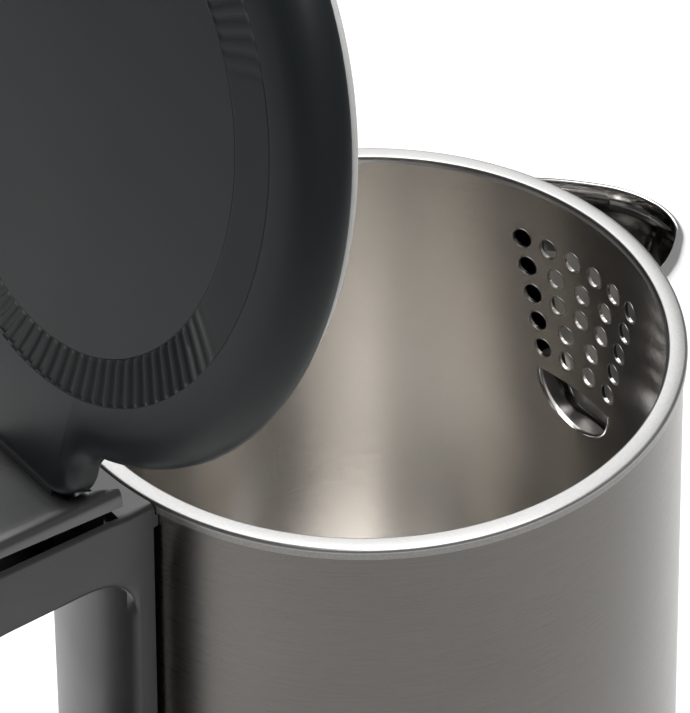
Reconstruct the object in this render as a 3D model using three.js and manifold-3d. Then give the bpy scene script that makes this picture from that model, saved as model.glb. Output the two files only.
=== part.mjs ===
// Cordless electric kettle with a double steel wall, a sprung lid and a round power base.
// Millimetres, +Z up, spout towards +X, handle towards -X, table at z = 0.
import * as THREE from 'three';
import { mergeVertices } from 'three/addons/utils/BufferGeometryUtils.js';
import Module from 'manifold-3d';

const wasm = await Module();
wasm.setup();

// ---------------------------------------------------------------- driving dimensions
const GAP = 0.3; // clearance between touching pieces
const ROUND = 36; // facets of a large round piece
const SMALL_ROUND = 14; // facets of a small round piece

const RIM_Z = 226; // pouring rim above the table
const RIM_R = 70; // outer radius of the rim band
const RIM_BAND = 4.2; // width of the flat rim band
const RIM_EDGE = 2.5; // depth of the turned-down rim edge
const TAPER = 0.05; // growth of the shell's radius per millimetre below the rim

const SHELL_R = 69.15; // outer shell radius, extrapolated to the rim plane
const SHELL_WALL = 0.6;
const SHELL_BOTTOM = -188; // lower edge of the shell, below the rim plane
const POT_R = 65.35; // inner wall radius; the pot's wall is straight
const POT_WALL = 0.8;
const POT_DEPTH = 168;
const POT_CORNER = 9; // inside radius between the wall and the floor

const PROBE_X = 30; // temperature probe, distance from the axis

const HOLE_R = 2.5; // strainer hole
const HOLE_ROWS = [6, 5, 5, 4, 4]; // holes in each row, top to bottom
const HOLE_TOP = 15.4; // depth of the first row
const HOLE_PITCH = 7.48; // distance between rows
const HOLE_SPREAD = 0.287; // half-angle of the first row, radians
const HOLE_NARROWING = 0.028; // each row is narrower by this half-angle
const SLOT_TOP = 51.8; // depth of the straight edge of the half-moon slot
const SLOT_HALF = 12.4; // half-width and height of the slot

const LIP_TIP = 90.8; // distance of the spout tip from the kettle axis
const LIP_TIP_R = 18.9; // rounding of the tip in plan
const LIP_SIDE = THREE.MathUtils.degToRad(41.9); // angle of the lip's sides to the spout axis
const LIP_HOLLOW = 0.72; // the sides draw in by this share at their ends
const LIP_ROOT_Z = -2.9; // lip height where it leaves the body
const LIP_FALL = 0.228; // fall of the lip per millimetre outwards
const LIP_WIDTH = 3; // width of the rolled lip
const SPOUT_BOTTOM = -68;
const SPOUT_WALL = 1.1;

const LID_R = 67.7;
const LID_H = 7.8; // lid top above its edge
const LID_GAP = 1; // closed lid edge above the rim plane
const LID_OPEN = THREE.MathUtils.degToRad(73.5);
const RING_OUT = 54.8; // grille ring
const RING_IN = 45.5;
const TONGUE_END = -76.3; // end of the lid's tongue when closed
const TONGUE_HALF = 16.3;
const TONGUE_CORNER = 7;
const TONGUE_EDGE = 1; // rounding of the tongue's top and bottom edges
const HINGE_X = -84.1;
const HINGE_Z = 1.75; // hinge axis above the rim plane
const KNUCKLE_R = 6.5;
const PIN_R = 2;

const HANDLE_HALF = 16.8; // half the handle's width
const HANDLE_EDGE = 2.4; // rounding of the handle's edges
const HANDLE_BACK = -142; // outermost point of the grip
const HANDLE_TOP = 8.3; // top line where the cover starts
const TOP_RISE = 0.065; // rise of the top line per millimetre outwards
const COVER_START = -79;
const COVER_END = -122; // seam between the top cover and the grip cover
const COVER_T = 4.6; // side height of the covers
const GROOVE = 2.8; // shadow groove between the covers and the cheeks
const CHANNEL_HALF = 13.6; // half-width of the hollow inside the handle
const ROOT_TOP = -1.3; // flat top of the handle's root, beside the rim
const ROOT_END = -77.6; // step between the root and the cheeks
const SPINE_BOTTOM = -196;
const SPINE_CROWN = 6.5; // bulge of the spine's outward face

const BUTTON = { x0: -120, x1: -105, half: 8, corner: 4 };
const SWITCH = { x: -82, z: -187, tip: -101, inner: -66, half: 4.5 };

const BASE_R = 80.5;
const BASE_TOP = 22;
const BASE_WALL = 2.5;
const POST_R = 16.2;
const POST_TOP = 35;
const FOOT_CIRCLE = 64; // feet of the power base
const BASE_SCREWS = 40; // screw circle of the power base
const COVER_SCREWS = 60; // screw circle of the kettle's bottom cover
const LID_SCREWS = 50;
const SCREW_HEAD = 1.8; // height of a screw head
const THIRD = (2 * Math.PI) / 3;
const KETTLE_FOOT = BASE_TOP + GAP - RIM_Z; // underside of the kettle, below the rim plane

// ---------------------------------------------------------------- finishes
const finish = (color, roughness, metalness) => () =>
  new THREE.MeshStandardMaterial({ color, roughness, metalness });
const polishedSteel = finish(0xd9d8d4, 0.15, 1);
const brushedSteel = finish(0x8f8b85, 0.35, 1);
const innerSteel = finish(0xb5a99a, 0.3, 1);
const darkPlastic = finish(0x3e4142, 0.45, 0);
const greyPlastic = finish(0x505152, 0.4, 0);
const blackPlastic = finish(0x1c1d1e, 0.5, 0);
const silicone = finish(0xb9bab8, 0.7, 0);
const rubber = finish(0x202020, 0.9, 0);
const aluminium = finish(0xb8bbbd, 0.4, 1);
const brass = finish(0xc9a453, 0.35, 1);
const lampLens = finish(0xe6e9ee, 0.25, 0);

// ---------------------------------------------------------------- geometry helpers
const v2 = (x, y) => new THREE.Vector2(x, y);
const v3 = (x, y, z) => new THREE.Vector3(x, y, z);

function signedVolume(position, index) {
  const a = new THREE.Vector3();
  const b = new THREE.Vector3();
  const c = new THREE.Vector3();
  let sum = 0;
  for (let i = 0; i < index.length; i += 3) {
    a.fromBufferAttribute(position, index[i]);
    b.fromBufferAttribute(position, index[i + 1]);
    c.fromBufferAttribute(position, index[i + 2]);
    sum += a.dot(b.cross(c)) / 6;
  }
  return sum;
}

// Merges shared vertices, drops empty triangles and turns the faces outwards.
function closed(geometry) {
  geometry.deleteAttribute('normal');
  geometry.deleteAttribute('uv');
  const merged = mergeVertices(geometry, 1e-4);
  const all = merged.index.array;
  let index = [];
  for (let i = 0; i < all.length; i += 3) {
    const [a, b, c] = [all[i], all[i + 1], all[i + 2]];
    if (a !== b && b !== c && c !== a) {
      index.push(a, b, c);
    }
  }
  if (signedVolume(merged.attributes.position, index) < 0) {
    index = index.reverse();
  }
  merged.setIndex(index);
  return merged;
}

function toManifold(geometry) {
  const mesh = new wasm.Mesh({
    numProp: 3,
    vertProperties: new Float32Array(geometry.attributes.position.array),
    triVerts: new Uint32Array(geometry.index.array),
  });
  return new wasm.Manifold(mesh);
}

function fromManifold(manifold) {
  const mesh = manifold.getMesh();
  const geometry = new THREE.BufferGeometry();
  geometry.setAttribute('position', new THREE.BufferAttribute(mesh.vertProperties, 3));
  geometry.setIndex(new THREE.BufferAttribute(mesh.triVerts, 1));
  return geometry;
}

function combine(operation, first, others) {
  let result = toManifold(first);
  for (const other of others) {
    result = result[operation](toManifold(other));
  }
  return fromManifold(result);
}
const cut = (first, ...others) => combine('subtract', first, others);
const join = (first, ...others) => combine('add', first, others);
const common = (first, ...others) => combine('intersect', first, others);

// Solid of revolution about Z from [radius, z] pairs.
function revolve(profile, segments = ROUND) {
  const points = profile.map(([r, z]) => v2(r, z));
  return closed(new THREE.LatheGeometry(points, segments).rotateX(Math.PI / 2));
}

// Ring whose [radius, z] outline closes on itself.
const ring = (outline, segments) => revolve([...outline, outline[0]], segments);

// [radius, z] points of an arc about (r, z), in degrees.
function arc(r, z, radius, from, to, steps) {
  const points = [];
  for (let i = 0; i <= steps; i += 1) {
    const angle = THREE.MathUtils.degToRad(from + ((to - from) * i) / steps);
    points.push([r + radius * Math.cos(angle), z + radius * Math.sin(angle)]);
  }
  return points;
}

// Polygon with rounded corners from [x, y, radius] triples.
function rounded(corners) {
  const path = new THREE.Shape();
  const count = corners.length;
  corners.forEach(([x, y, radius], i) => {
    const here = v2(x, y);
    const before = v2(...corners[(i + count - 1) % count]).sub(here);
    const after = v2(...corners[(i + 1) % count]).sub(here);
    const half = Math.abs(before.angleTo(after)) / 2;
    const reach = radius / Math.tan(half);
    const start = here.clone().add(before.setLength(reach));
    const end = here.clone().add(after.setLength(reach));
    if (i === 0) {
      path.moveTo(start.x, start.y);
    } else {
      path.lineTo(start.x, start.y);
    }
    if (radius > 0) {
      path.quadraticCurveTo(x, y, end.x, end.y);
    }
  });
  path.closePath();
  return path;
}

function extrude(shape, depth, bevel = 0, curveSegments = 4) {
  return new THREE.ExtrudeGeometry(shape, {
    depth: depth - 2 * bevel,
    bevelEnabled: bevel > 0,
    bevelSize: bevel,
    bevelThickness: bevel,
    bevelOffset: -bevel,
    bevelSegments: 2,
    curveSegments,
  }).translate(0, 0, bevel);
}

// Shape drawn in x and z, extruded along Y between y0 and y1.
const acrossY = (shape, y0, y1, bevel = 0) =>
  closed(extrude(shape, y1 - y0, bevel).rotateX(Math.PI / 2).translate(0, y1, 0));
// Shape drawn in y and z, extruded along X between x0 and x1.
const alongX = (shape, x0, x1) =>
  closed(extrude(shape, x1 - x0).rotateX(Math.PI / 2).rotateZ(Math.PI / 2).translate(x0, 0, 0));
// Shape drawn in x and y, extruded upwards between z0 and z1.
const upright = (shape, z0, z1, bevel = 0) =>
  closed(extrude(shape, z1 - z0, bevel).translate(0, 0, z0));

function block(x0, x1, y0, y1, z0, z1) {
  const box = new THREE.BoxGeometry(x1 - x0, y1 - y0, z1 - z0);
  return closed(box.translate((x0 + x1) / 2, (y0 + y1) / 2, (z0 + z1) / 2));
}

// Cylinders about Z and along Y.
const rod = (radius, length, segments = SMALL_ROUND) =>
  closed(new THREE.CylinderGeometry(radius, radius, length, segments).rotateX(Math.PI / 2));
const rodAlongY = (radius, length, x, z, segments = SMALL_ROUND) =>
  closed(new THREE.CylinderGeometry(radius, radius, length, segments).translate(x, 0, z));

// Solid through rings of equal point count, closed by a fan at each end.
function loft(rings) {
  const count = rings[0].length;
  const points = rings.flat();
  const index = [];
  for (let i = 0; i < rings.length - 1; i += 1) {
    for (let j = 0; j < count; j += 1) {
      const a = i * count + j;
      const b = i * count + ((j + 1) % count);
      index.push(a, b, a + count, b, b + count, a + count);
    }
  }
  const closeEnd = (ringIndex, turned) => {
    const centre = points.length;
    const sum = rings[ringIndex].reduce((total, p) => total.add(p), new THREE.Vector3());
    points.push(sum.divideScalar(count));
    for (let j = 0; j < count; j += 1) {
      const a = ringIndex * count + j;
      const b = ringIndex * count + ((j + 1) % count);
      index.push(...(turned ? [centre, b, a] : [centre, a, b]));
    }
  };
  closeEnd(0, true);
  closeEnd(rings.length - 1, false);
  const geometry = new THREE.BufferGeometry().setFromPoints(points);
  geometry.setIndex(index);
  return closed(geometry);
}

// Round bar along a curve.
function sweep(curve, radius, steps, sides = 8) {
  const section = new THREE.Shape();
  section.absarc(0, 0, radius, 0, 2 * Math.PI, false);
  return closed(new THREE.ExtrudeGeometry(section, {
    extrudePath: curve,
    steps,
    curveSegments: sides / 2,
    bevelEnabled: false,
  }));
}

// Coil of wire about Z.
class Helix extends THREE.Curve {
  constructor(radius, pitch, turns) {
    super();
    this.radius = radius;
    this.pitch = pitch;
    this.turns = turns;
  }

  getPoint(t) {
    const angle = 2 * Math.PI * this.turns * t;
    const height = this.pitch * this.turns * t;
    return v3(this.radius * Math.cos(angle), this.radius * Math.sin(angle), height);
  }
}

// ---------------------------------------------------------------- walls, below the rim plane
const shellRadius = (z) => SHELL_R - TAPER * z;

// Everything inside the shell and the rim band, with a clearance.
const bodySpace = () => revolve([
  [0, SPINE_BOTTOM - 20],
  [shellRadius(SPINE_BOTTOM - 20) + GAP, SPINE_BOTTOM - 20],
  [shellRadius(-RIM_EDGE) + GAP, -RIM_EDGE - GAP],
  [RIM_R + GAP, -RIM_EDGE - GAP],
  [RIM_R + GAP, 20],
  [0, 20],
], 72);

function strainerHoles() {
  const drills = [];
  HOLE_ROWS.forEach((holes, row) => {
    const half = HOLE_SPREAD - HOLE_NARROWING * row;
    const z = -(HOLE_TOP + HOLE_PITCH * row);
    for (let i = 0; i < holes; i += 1) {
      const angle = half - (2 * half * i) / (holes - 1);
      const drill = rod(HOLE_R, 12, 6).rotateY(Math.PI / 2).translate(POT_R, 0, z);
      drills.push(drill.rotateZ(angle));
    }
  });
  return drills;
}

function strainerSlot() {
  const shape = new THREE.Shape();
  shape.moveTo(-SLOT_HALF, -SLOT_TOP);
  shape.absarc(0, -SLOT_TOP, SLOT_HALF, Math.PI, 2 * Math.PI, false);
  shape.closePath();
  return alongX(shape, POT_R - 6, POT_R + 10);
}

function innerPot() {
  const floor = -POT_DEPTH;
  const corner = floor + POT_CORNER;
  const cornerR = POT_R - POT_CORNER;
  const rimIn = RIM_R - RIM_BAND;
  const wall = revolve([
    [0, floor - POT_WALL],
    ...arc(cornerR, corner, POT_CORNER + POT_WALL, -90, 0, 3),
    [POT_R + POT_WALL, -5],
    [rimIn + 0.9, -1.2],
    [RIM_R - 1, -1.2],
    [RIM_R - 1, -RIM_EDGE],
    [RIM_R, -RIM_EDGE],
    [RIM_R, -0.8],
    [RIM_R - 0.8, 0],
    [rimIn + 0.7, 0],
    [rimIn, -0.7],
    [rimIn, -2.8],
    [POT_R, -3.4],
    ...arc(cornerR, corner, POT_CORNER, 0, -90, 3),
    [0, floor],
  ]);
  return cut(wall, strainerSlot(), ...strainerHoles());
}

function outerShell() {
  const top = -RIM_EDGE - GAP;
  const skin = ring([
    [shellRadius(SHELL_BOTTOM) - SHELL_WALL, SHELL_BOTTOM],
    [shellRadius(SHELL_BOTTOM), SHELL_BOTTOM],
    [shellRadius(top), top],
    [shellRadius(top) - SHELL_WALL, top],
  ]);
  const mouth = rounded([[-19, -7, 4], [19, -7, 4], [11, -62, 9], [-11, -62, 9]]);
  const rear = rounded([[-7.5, -168, 1], [7.5, -168, 1], [7.5, -200, 0], [-7.5, -200, 0]]);
  return cut(skin, alongX(mouth, 55, 95), alongX(rear, -90, -60));
}

// ---------------------------------------------------------------- spout
// Plan outline of the lip, moved inwards by inset: a round tip between two straight sides.
function lipOutline(inset, points) {
  const radius = LIP_TIP_R - inset;
  const centre = LIP_TIP - LIP_TIP_R;
  const turn = Math.PI / 2 - LIP_SIDE;
  const path = new THREE.Path();
  const side = 27;
  const meetX = centre + radius * Math.cos(turn);
  const meetY = radius * Math.sin(turn);
  const endX = meetX - side * Math.cos(LIP_SIDE);
  const endY = meetY + side * Math.sin(LIP_SIDE) * LIP_HOLLOW;
  path.moveTo(endX, -endY);
  path.lineTo(meetX, -meetY);
  path.absarc(centre, 0, radius, -turn, turn, false);
  path.lineTo(endX, endY);
  return path.getSpacedPoints(points);
}

// Level 0 is the lip and level 1 the spout's foot on the wall; lift raises the ring.
function spoutRing(level, inset, lift = 0) {
  const draw = (1 - level) ** 0.9;
  const narrow = 1 - 0.72 * level ** 1.1;
  const outline = lipOutline(inset, 16).map((p) => {
    const reach = Math.max(p.length() - SHELL_R, -3);
    const lipZ = LIP_ROOT_Z - LIP_FALL * (p.x - RIM_R);
    const z = THREE.MathUtils.lerp(lipZ, SPOUT_BOTTOM, level);
    const radius = shellRadius(z) - inset * (1 - draw) + Math.min(reach, reach * draw);
    const angle = Math.atan2(p.y, p.x) * narrow;
    return v3(radius * Math.cos(angle), radius * Math.sin(angle), z + lift);
  });
  const rear = [outline.at(-1), outline[0]].map((p) => v3(58, p.y * 0.9, p.z));
  return [...outline, ...rear];
}

function spout() {
  const lipLevels = [0, 0.05];
  const wallLevels = [0.07, 0.2, 0.4, 0.6, 0.8, 0.97];
  const outside = loft([...lipLevels, ...wallLevels].map((level) => spoutRing(level, 0)));
  const inside = loft([
    spoutRing(0, LIP_WIDTH, 6),
    ...lipLevels.map((level) => spoutRing(level, LIP_WIDTH)),
    ...wallLevels.map((level) => spoutRing(level, SPOUT_WALL)),
  ]);
  return cut(outside, inside, bodySpace());
}

// ---------------------------------------------------------------- handle
const topLine = (x) => HANDLE_TOP + TOP_RISE * (COVER_START - x);
const spineFace = (z) => 73.4 - 0.058 * (z + 16); // spine side edge, distance from the axis

// Outer side outline of the handle, moved inwards by inset.
function handleOutline(inset) {
  const back = HANDLE_BACK + inset;
  return rounded([
    [-58, topLine(-58) - inset, 0],
    [back, topLine(back) - inset, 27 - inset],
    [back + 5, -138 + inset, 24 - inset],
    [-58, -143, 0],
  ]);
}

// Finger opening, widened on every side by grow.
function fingerOpening(grow) {
  return rounded([
    [-117 - grow, -13.6 + grow, 12 + grow],
    [-73.4 + grow, -15.9 + grow, 13 + grow],
    [-79.2 + grow, -116 - grow, 13 + grow],
    [-113.5 - grow, -113 - grow, 12 + grow],
  ]);
}

// Spine along the wall with a crowned outward face; the section is drawn for one height.
function spineSection(z, half, crown, back) {
  const points = [v3(-60, -half, z)];
  const steps = 8;
  for (let i = 0; i <= steps; i += 1) {
    const side = (2 * i) / steps - 1;
    points.push(v3(-(back(z) + crown * (1 - side * side)), side * half, z));
  }
  points.push(v3(-60, half, z));
  return points;
}

function handleEnvelope() {
  const loop = cut(
    acrossY(handleOutline(0), -HANDLE_HALF, HANDLE_HALF, HANDLE_EDGE),
    acrossY(fingerOpening(0), -HANDLE_HALF - 1, HANDLE_HALF + 1),
  );
  return cut(loop, block(ROOT_END, 0, -20, 20, ROOT_TOP, 30));
}

function spine() {
  const rings = [SPINE_BOTTOM, -17].map((z) => spineSection(z, HANDLE_HALF, SPINE_CROWN, spineFace));
  return loft(rings);
}

function hingeEar(side) {
  const y = 11.9 * side;
  const barrel = rodAlongY(4.2, 2.6, HINGE_X, HINGE_Z).translate(0, y, 0);
  return join(barrel, block(HINGE_X - 4.2, HINGE_X + 4.2, y - 1.3, y + 1.3, -8, HINGE_Z));
}

// Space taken by the covers and the shadow groove, outside the cheeks.
function coverSpace(inset, half) {
  const back = HANDLE_BACK + inset;
  const outside = acrossY(rounded([
    [ROOT_END, 40, 0], [-160, 40, 0], [-160, -125, 0], [ROOT_END, -125, 0],
  ]), -half, half);
  const inside = acrossY(rounded([
    [-50, topLine(-50) - inset, 0],
    [back, topLine(back) - inset, 27 - inset],
    [back + 5, -138 + inset, 24 - inset],
    [-50, -143, 0],
  ]), -half - 1, half + 1);
  return cut(outside, inside);
}

function handleBody() {
  const channelFloor = 3;
  const channel = common(
    cut(
      acrossY(handleOutline(-5), -CHANNEL_HALF, CHANNEL_HALF),
      acrossY(fingerOpening(channelFloor), -CHANNEL_HALF - 1, CHANNEL_HALF + 1),
    ),
    block(-160, -92, -20, 20, -122, 40),
  );
  const hingeRoom = block(-92.01, -77.3, -10.5, 10.5, -12, 20);
  const earRoom = block(-92.01, -77.3, -13.5, 13.5, 0.6, 20);
  const tubeRoom = loft([SPINE_BOTTOM + 4, -10].map((z) =>
    spineSection(z, 5, 0, (height) => spineFace(height) + 3.1)));
  const switchRoom = block(-95, -70, -5.4, 5.4, -193, -181);
  const screwHoles = [-1, 1].map((side) =>
    rod(1.7, 12).translate(-83.5, 10.5 * side, SPINE_BOTTOM + 5));
  const lensHole = rod(2.6, 8).rotateY(Math.PI / 2).translate(-88.4, 0, -166);
  const body = cut(
    join(handleEnvelope(), spine()),
    coverSpace(COVER_T + GROOVE, 20),
    channel,
    hingeRoom,
    earRoom,
  );
  return cut(
    join(body, hingeEar(1), hingeEar(-1)),
    rodAlongY(PIN_R + GAP, 28, HINGE_X, HINGE_Z),
    tubeRoom,
    switchRoom,
    lensHole,
    ...screwHoles,
    bodySpace(),
  );
}

// Strip of the covers between two insets, for one half-width.
function coverStrip(from, to, half) {
  const outer = common(
    acrossY(handleOutline(0), -HANDLE_HALF, HANDLE_HALF, HANDLE_EDGE),
    acrossY(handleOutline(from), -half, half),
  );
  return common(outer, coverSpace(to, half));
}

// Rib under the covers that reaches into the handle's channel.
const coverWeb = () => coverStrip(COVER_T - 0.5, COVER_T + GROOVE + 1, CHANNEL_HALF - GAP);

// Outline of the release button, grown on every side.
function buttonPlan(grow) {
  const { x0, x1, half, corner } = BUTTON;
  return rounded([
    [x0 - grow, -half - grow, corner],
    [x1 + grow, -half - grow, corner],
    [x1 + grow, half + grow, corner],
    [x0 - grow, half + grow, corner],
  ]);
}

function handleTopCover() {
  const zone = block(COVER_END, COVER_START, -20, 20, -5, 30);
  const skin = common(coverStrip(0, COVER_T, HANDLE_HALF), zone);
  const web = common(coverWeb(), block(COVER_END, -92.5, -20, 20, -5, 30));
  const hingeSlot = block(-91.2, -70, -13.3, 13.3, -5, 30);
  return cut(join(skin, web), hingeSlot, upright(buttonPlan(GAP), -10, 30));
}

function gripCover() {
  const seam = COVER_END - GAP;
  const zone = block(-160, seam, -20, 20, -125 + GAP, 30);
  const skin = common(coverStrip(0, COVER_T, HANDLE_HALF), zone);
  const web = common(coverWeb(), zone);
  return cut(join(skin, web), block(-160, seam + 1, -20, 20, -140, -121.5));
}

function releaseButton() {
  const top = topLine(BUTTON.x0) + 0.9;
  const stem = rod(3, 2.4).translate((BUTTON.x0 + BUTTON.x1) / 2, 0, -1.9);
  return join(upright(buttonPlan(0), -1, top, 1), stem);
}

function buttonSpring() {
  const wire = sweep(new Helix(2.2, 2.2, 3), 0.4, 24, 6);
  return wire.translate((BUTTON.x0 + BUTTON.x1) / 2, 0, -10.3);
}

function latchBar() {
  const bar = rounded([[-118, -9, 2], [-92.5, -9, 1], [-92.5, 9, 1], [-118, 9, 2]]);
  const springRoom = rounded([[-117, -4.5, 2], [-105, -4.5, 2], [-105, 4.5, 2], [-117, 4.5, 2]]);
  return cut(upright(bar, -9.4, -5.8), upright(springRoom, -12, 0));
}

const hingePin = () => rodAlongY(PIN_R, 26, HINGE_X, HINGE_Z, 16);

// Spring round the hinge pin, with a straight leg at each end.
function lidSpring() {
  const coil = new Helix(3.1, 2, 3);
  const wire = sweep(coil, 0.5, 27, 6).rotateX(Math.PI / 2);
  return wire.translate(HINGE_X, 3, HINGE_Z);
}

function steamTube() {
  const centre = (z) => -(shellRadius(z) + 3.3);
  const path = new THREE.CurvePath();
  path.add(new THREE.LineCurve3(v3(centre(-18), 0, -18), v3(centre(-168), 0, -168)));
  path.add(new THREE.QuadraticBezierCurve3(
    v3(centre(-168), 0, -168),
    v3(centre(-177), 0, -177),
    v3(-71, 0, -177.5),
  ));
  return sweep(path, 2.7, 16);
}

function powerSwitch() {
  const { x, z, tip, inner, half } = SWITCH;
  const rise = 2.2;
  const arm = acrossY(rounded([
    [inner, z - 1.6, 0], [inner, z + 1.4, 0], [x, z + 2.2, 0], [-92, z + rise + 1.6, 0],
    [-92, z + rise - 1.6, 0], [x, z - 2.4, 0],
  ]), -half, half);
  const paddle = acrossY(rounded([
    [-91.5, z + rise - 2, 1], [-91.5, z + rise + 2, 1],
    [tip, z + rise + 3.2, 1.2], [tip, z + rise + 0.2, 1.2],
  ]), -9, 9);
  const bore = rodAlongY(1.5, 20, x, z, 12);
  return cut(join(arm, paddle), bore);
}

const switchPivot = () => rodAlongY(1.2, 10.2, SWITCH.x, SWITCH.z, 12);
const switchRod = () => block(-68.6, -66.4, -3, 3, SWITCH.z + 2, SWITCH.z + 7.5);

// Pan-head screw, pointing up from the top of its head at z = 0.
const screw = () => revolve([
  [0, 0], [2.4, 0], [2.9, 0.6], [2.9, SCREW_HEAD], [1.4, SCREW_HEAD], [1.4, 9], [0, 9],
], 8);

// ---------------------------------------------------------------- lid, closed, about its own axis
function lidTongue() {
  const plan = rounded([
    [-54, -TONGUE_HALF, 0], [-54, TONGUE_HALF, 0],
    [TONGUE_END, TONGUE_HALF, TONGUE_CORNER], [TONGUE_END, -TONGUE_HALF, TONGUE_CORNER],
  ]);
  const seatRoom = rod(RING_OUT + GAP + 1, 20, 96).translate(0, 0, 13);
  const linerRoom = rod(66.6, 10, 96).translate(0, 0, -2);
  return cut(upright(plan, 0.3, LID_H, TONGUE_EDGE), seatRoom, linerRoom);
}

function lidKnuckles() {
  const z = HINGE_Z - LID_GAP;
  const web = acrossY(rounded([
    [-64, 4.5, 0], [-70, 2.6, 0], [-78, 0.3, 0], [HINGE_X, 0.3, 0],
    [HINGE_X, z + 6, 0], [-80, 6, 0], [-76, 7.2, 0], [-64, 7.2, 0],
  ]), -10.2, 10.2);
  const barrel = rodAlongY(KNUCKLE_R, 20.4, HINGE_X, z, 24);
  const springGap = block(-96, -77.2, -5, 5, -10, 20);
  return cut(join(web, barrel), springGap, rodAlongY(PIN_R + GAP, 24, HINGE_X, z));
}

function lidCover() {
  const seat = RING_OUT + GAP;
  const disc = revolve([
    [0, 3], [65.9, 3], [65.9, 0], [LID_R, 0], [LID_R, 2], [66.8, 4.6], [64.4, 6.6],
    [60.5, 7.7], [seat, LID_H], [seat, 5], [0, 5],
  ]);
  return join(disc, lidTongue(), lidKnuckles());
}

const lidGrilleRing = () => ring([
  [RING_IN + GAP, 5 + GAP], [RING_OUT, 5 + GAP], [RING_OUT, LID_H - 0.2], [RING_IN + GAP, LID_H - 0.2],
]);
const lidCentreDisc = () => revolve([
  [0, 5 + GAP], [RING_IN, 5 + GAP], [RING_IN, LID_H - 0.5], [RING_IN - 0.5, LID_H], [0, LID_H],
]);

function lidLiner() {
  const dish = revolve([
    [0, -7], [59, -7], [61.5, -5], [61.5, 0.9], [65.3, 0.9], [65.3, 2.7],
    [60, 2.7], [60, -4.6], [58.6, -5.5], [0, -5.5],
  ]);
  const vents = [-8, 0, 8].map((y) => rod(1.8, 6, 8).translate(-40, y, -6));
  const screwHoles = [0, 1, 2].map((i) =>
    rod(1.7, 6, 12).translate(LID_SCREWS, 0, -6).rotateZ(i * THIRD));
  return cut(dish, ...vents, ...screwHoles);
}

const lidSeal = () => ring([
  [61.8, -4.2], [63.6, -4.4], [65, -3.2], [65, -2.4], [63.4, -1.2], [61.8, -1],
]);

// ---------------------------------------------------------------- underside of the kettle
function baseRing() {
  const z = KETTLE_FOOT;
  const top = SHELL_BOTTOM - GAP;
  const band = ring([
    [75.6, z], [78, z], [shellRadius(top), z + 3], [shellRadius(top), top],
    [shellRadius(top) - 2, top], [shellRadius(top) - 2, z + 3.4], [75.6, z + 2],
  ]);
  return cut(band, block(-90, -70, -6.5, 6.5, -194, -180));
}

function bottomCover() {
  const z = KETTLE_FOOT + 2.4;
  const plate = ring([
    [23.6, z], [74, z], [75.8, z + 1.8], [75.8, z + 3.4], [73.6, z + 2.4], [23.6, z + 2.4],
  ]);
  const holes = [0, 1, 2].map((i) =>
    rod(1.7, 8, 12).translate(COVER_SCREWS, 0, z).rotateZ((i + 0.5) * THIRD));
  return cut(plate, ...holes);
}

const heaterPlate = () => {
  const top = -POT_DEPTH - POT_WALL - GAP;
  const disc = revolve([[0, top - 3], [60, top - 3], [61, top - 2], [61, top], [0, top]]);
  return cut(disc, rod(4.3, 10, 16).translate(PROBE_X, 0, top - 1.5));
};

function heatingElement() {
  const arcPath = new THREE.CatmullRomCurve3(Array.from({ length: 17 }, (_, i) => {
    const angle = THREE.MathUtils.degToRad(-160 + 20 * i);
    return v3(46 * Math.cos(angle), 46 * Math.sin(angle), 0);
  }));
  return sweep(arcPath, 3.2, 20, 6).translate(0, 0, -POT_DEPTH - POT_WALL - 2 * GAP - 6.3);
}

const thermostat = () => {
  const plan = rounded([[-25, -17, 4], [25, -17, 4], [25, 17, 4], [-25, 17, 4]]);
  return upright(plan, -187.4, -179);
};
const bimetalDisc = () => revolve([[0, -178.6], [9.5, -178.6], [9.5, -178], [0, -177.6]], SMALL_ROUND);
const ntcProbe = () => {
  const top = -POT_DEPTH + GAP;
  const dome = revolve([
    [0, top], [5.5, top], [5.5, top + 1], [3.4, top + 1.6], [3, top + 7], [1.6, top + 8.4], [0, top + 8.6],
  ], SMALL_ROUND);
  return dome.translate(PROBE_X, 0, 0);
};

function kettleSocket() {
  const roof = POST_TOP + 1 - RIM_Z;
  const cup = revolve([
    [0, roof], [19.3, roof], [19.3, KETTLE_FOOT + 1], [22, KETTLE_FOOT + 1], [23.2, KETTLE_FOOT + 2],
    [23.2, roof + 2.2], [0, roof + 2.2],
  ], 24);
  const ringSlot = ring([[11, roof - 1], [12.6, roof - 1], [12.6, roof + 1.4], [11, roof + 1.4]], 24);
  return cut(cup, ringSlot);
}
const socketContactRing = () => {
  const roof = POST_TOP + 1 - RIM_Z;
  return ring([[11.3, roof - 7], [12.3, roof - 7], [12.3, roof + 1.1], [11.3, roof + 1.1]], 24);
};
const socketPin = () => rod(1.8, 8, 12).translate(0, 0, POST_TOP + 0.7 - RIM_Z - 4);

// ---------------------------------------------------------------- power base
function baseTopShell() {
  const r = BASE_R;
  const skin = ring([
    [POST_R + 1.4, BASE_TOP], [77.2, BASE_TOP], ...arc(r - 3.6, BASE_TOP - 3.6, 3.6, 70, 0, 2),
    [r, 2.4], [r - BASE_WALL, 2.4], [r - BASE_WALL, BASE_TOP - 5],
    [r - BASE_WALL - 2.4, BASE_TOP - BASE_WALL], [POST_R + 1.4, BASE_TOP - BASE_WALL],
  ]);
  return cut(skin, rod(4.4, 20, 16).rotateY(Math.PI / 2).translate(-r, 0, 9.5));
}

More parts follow.
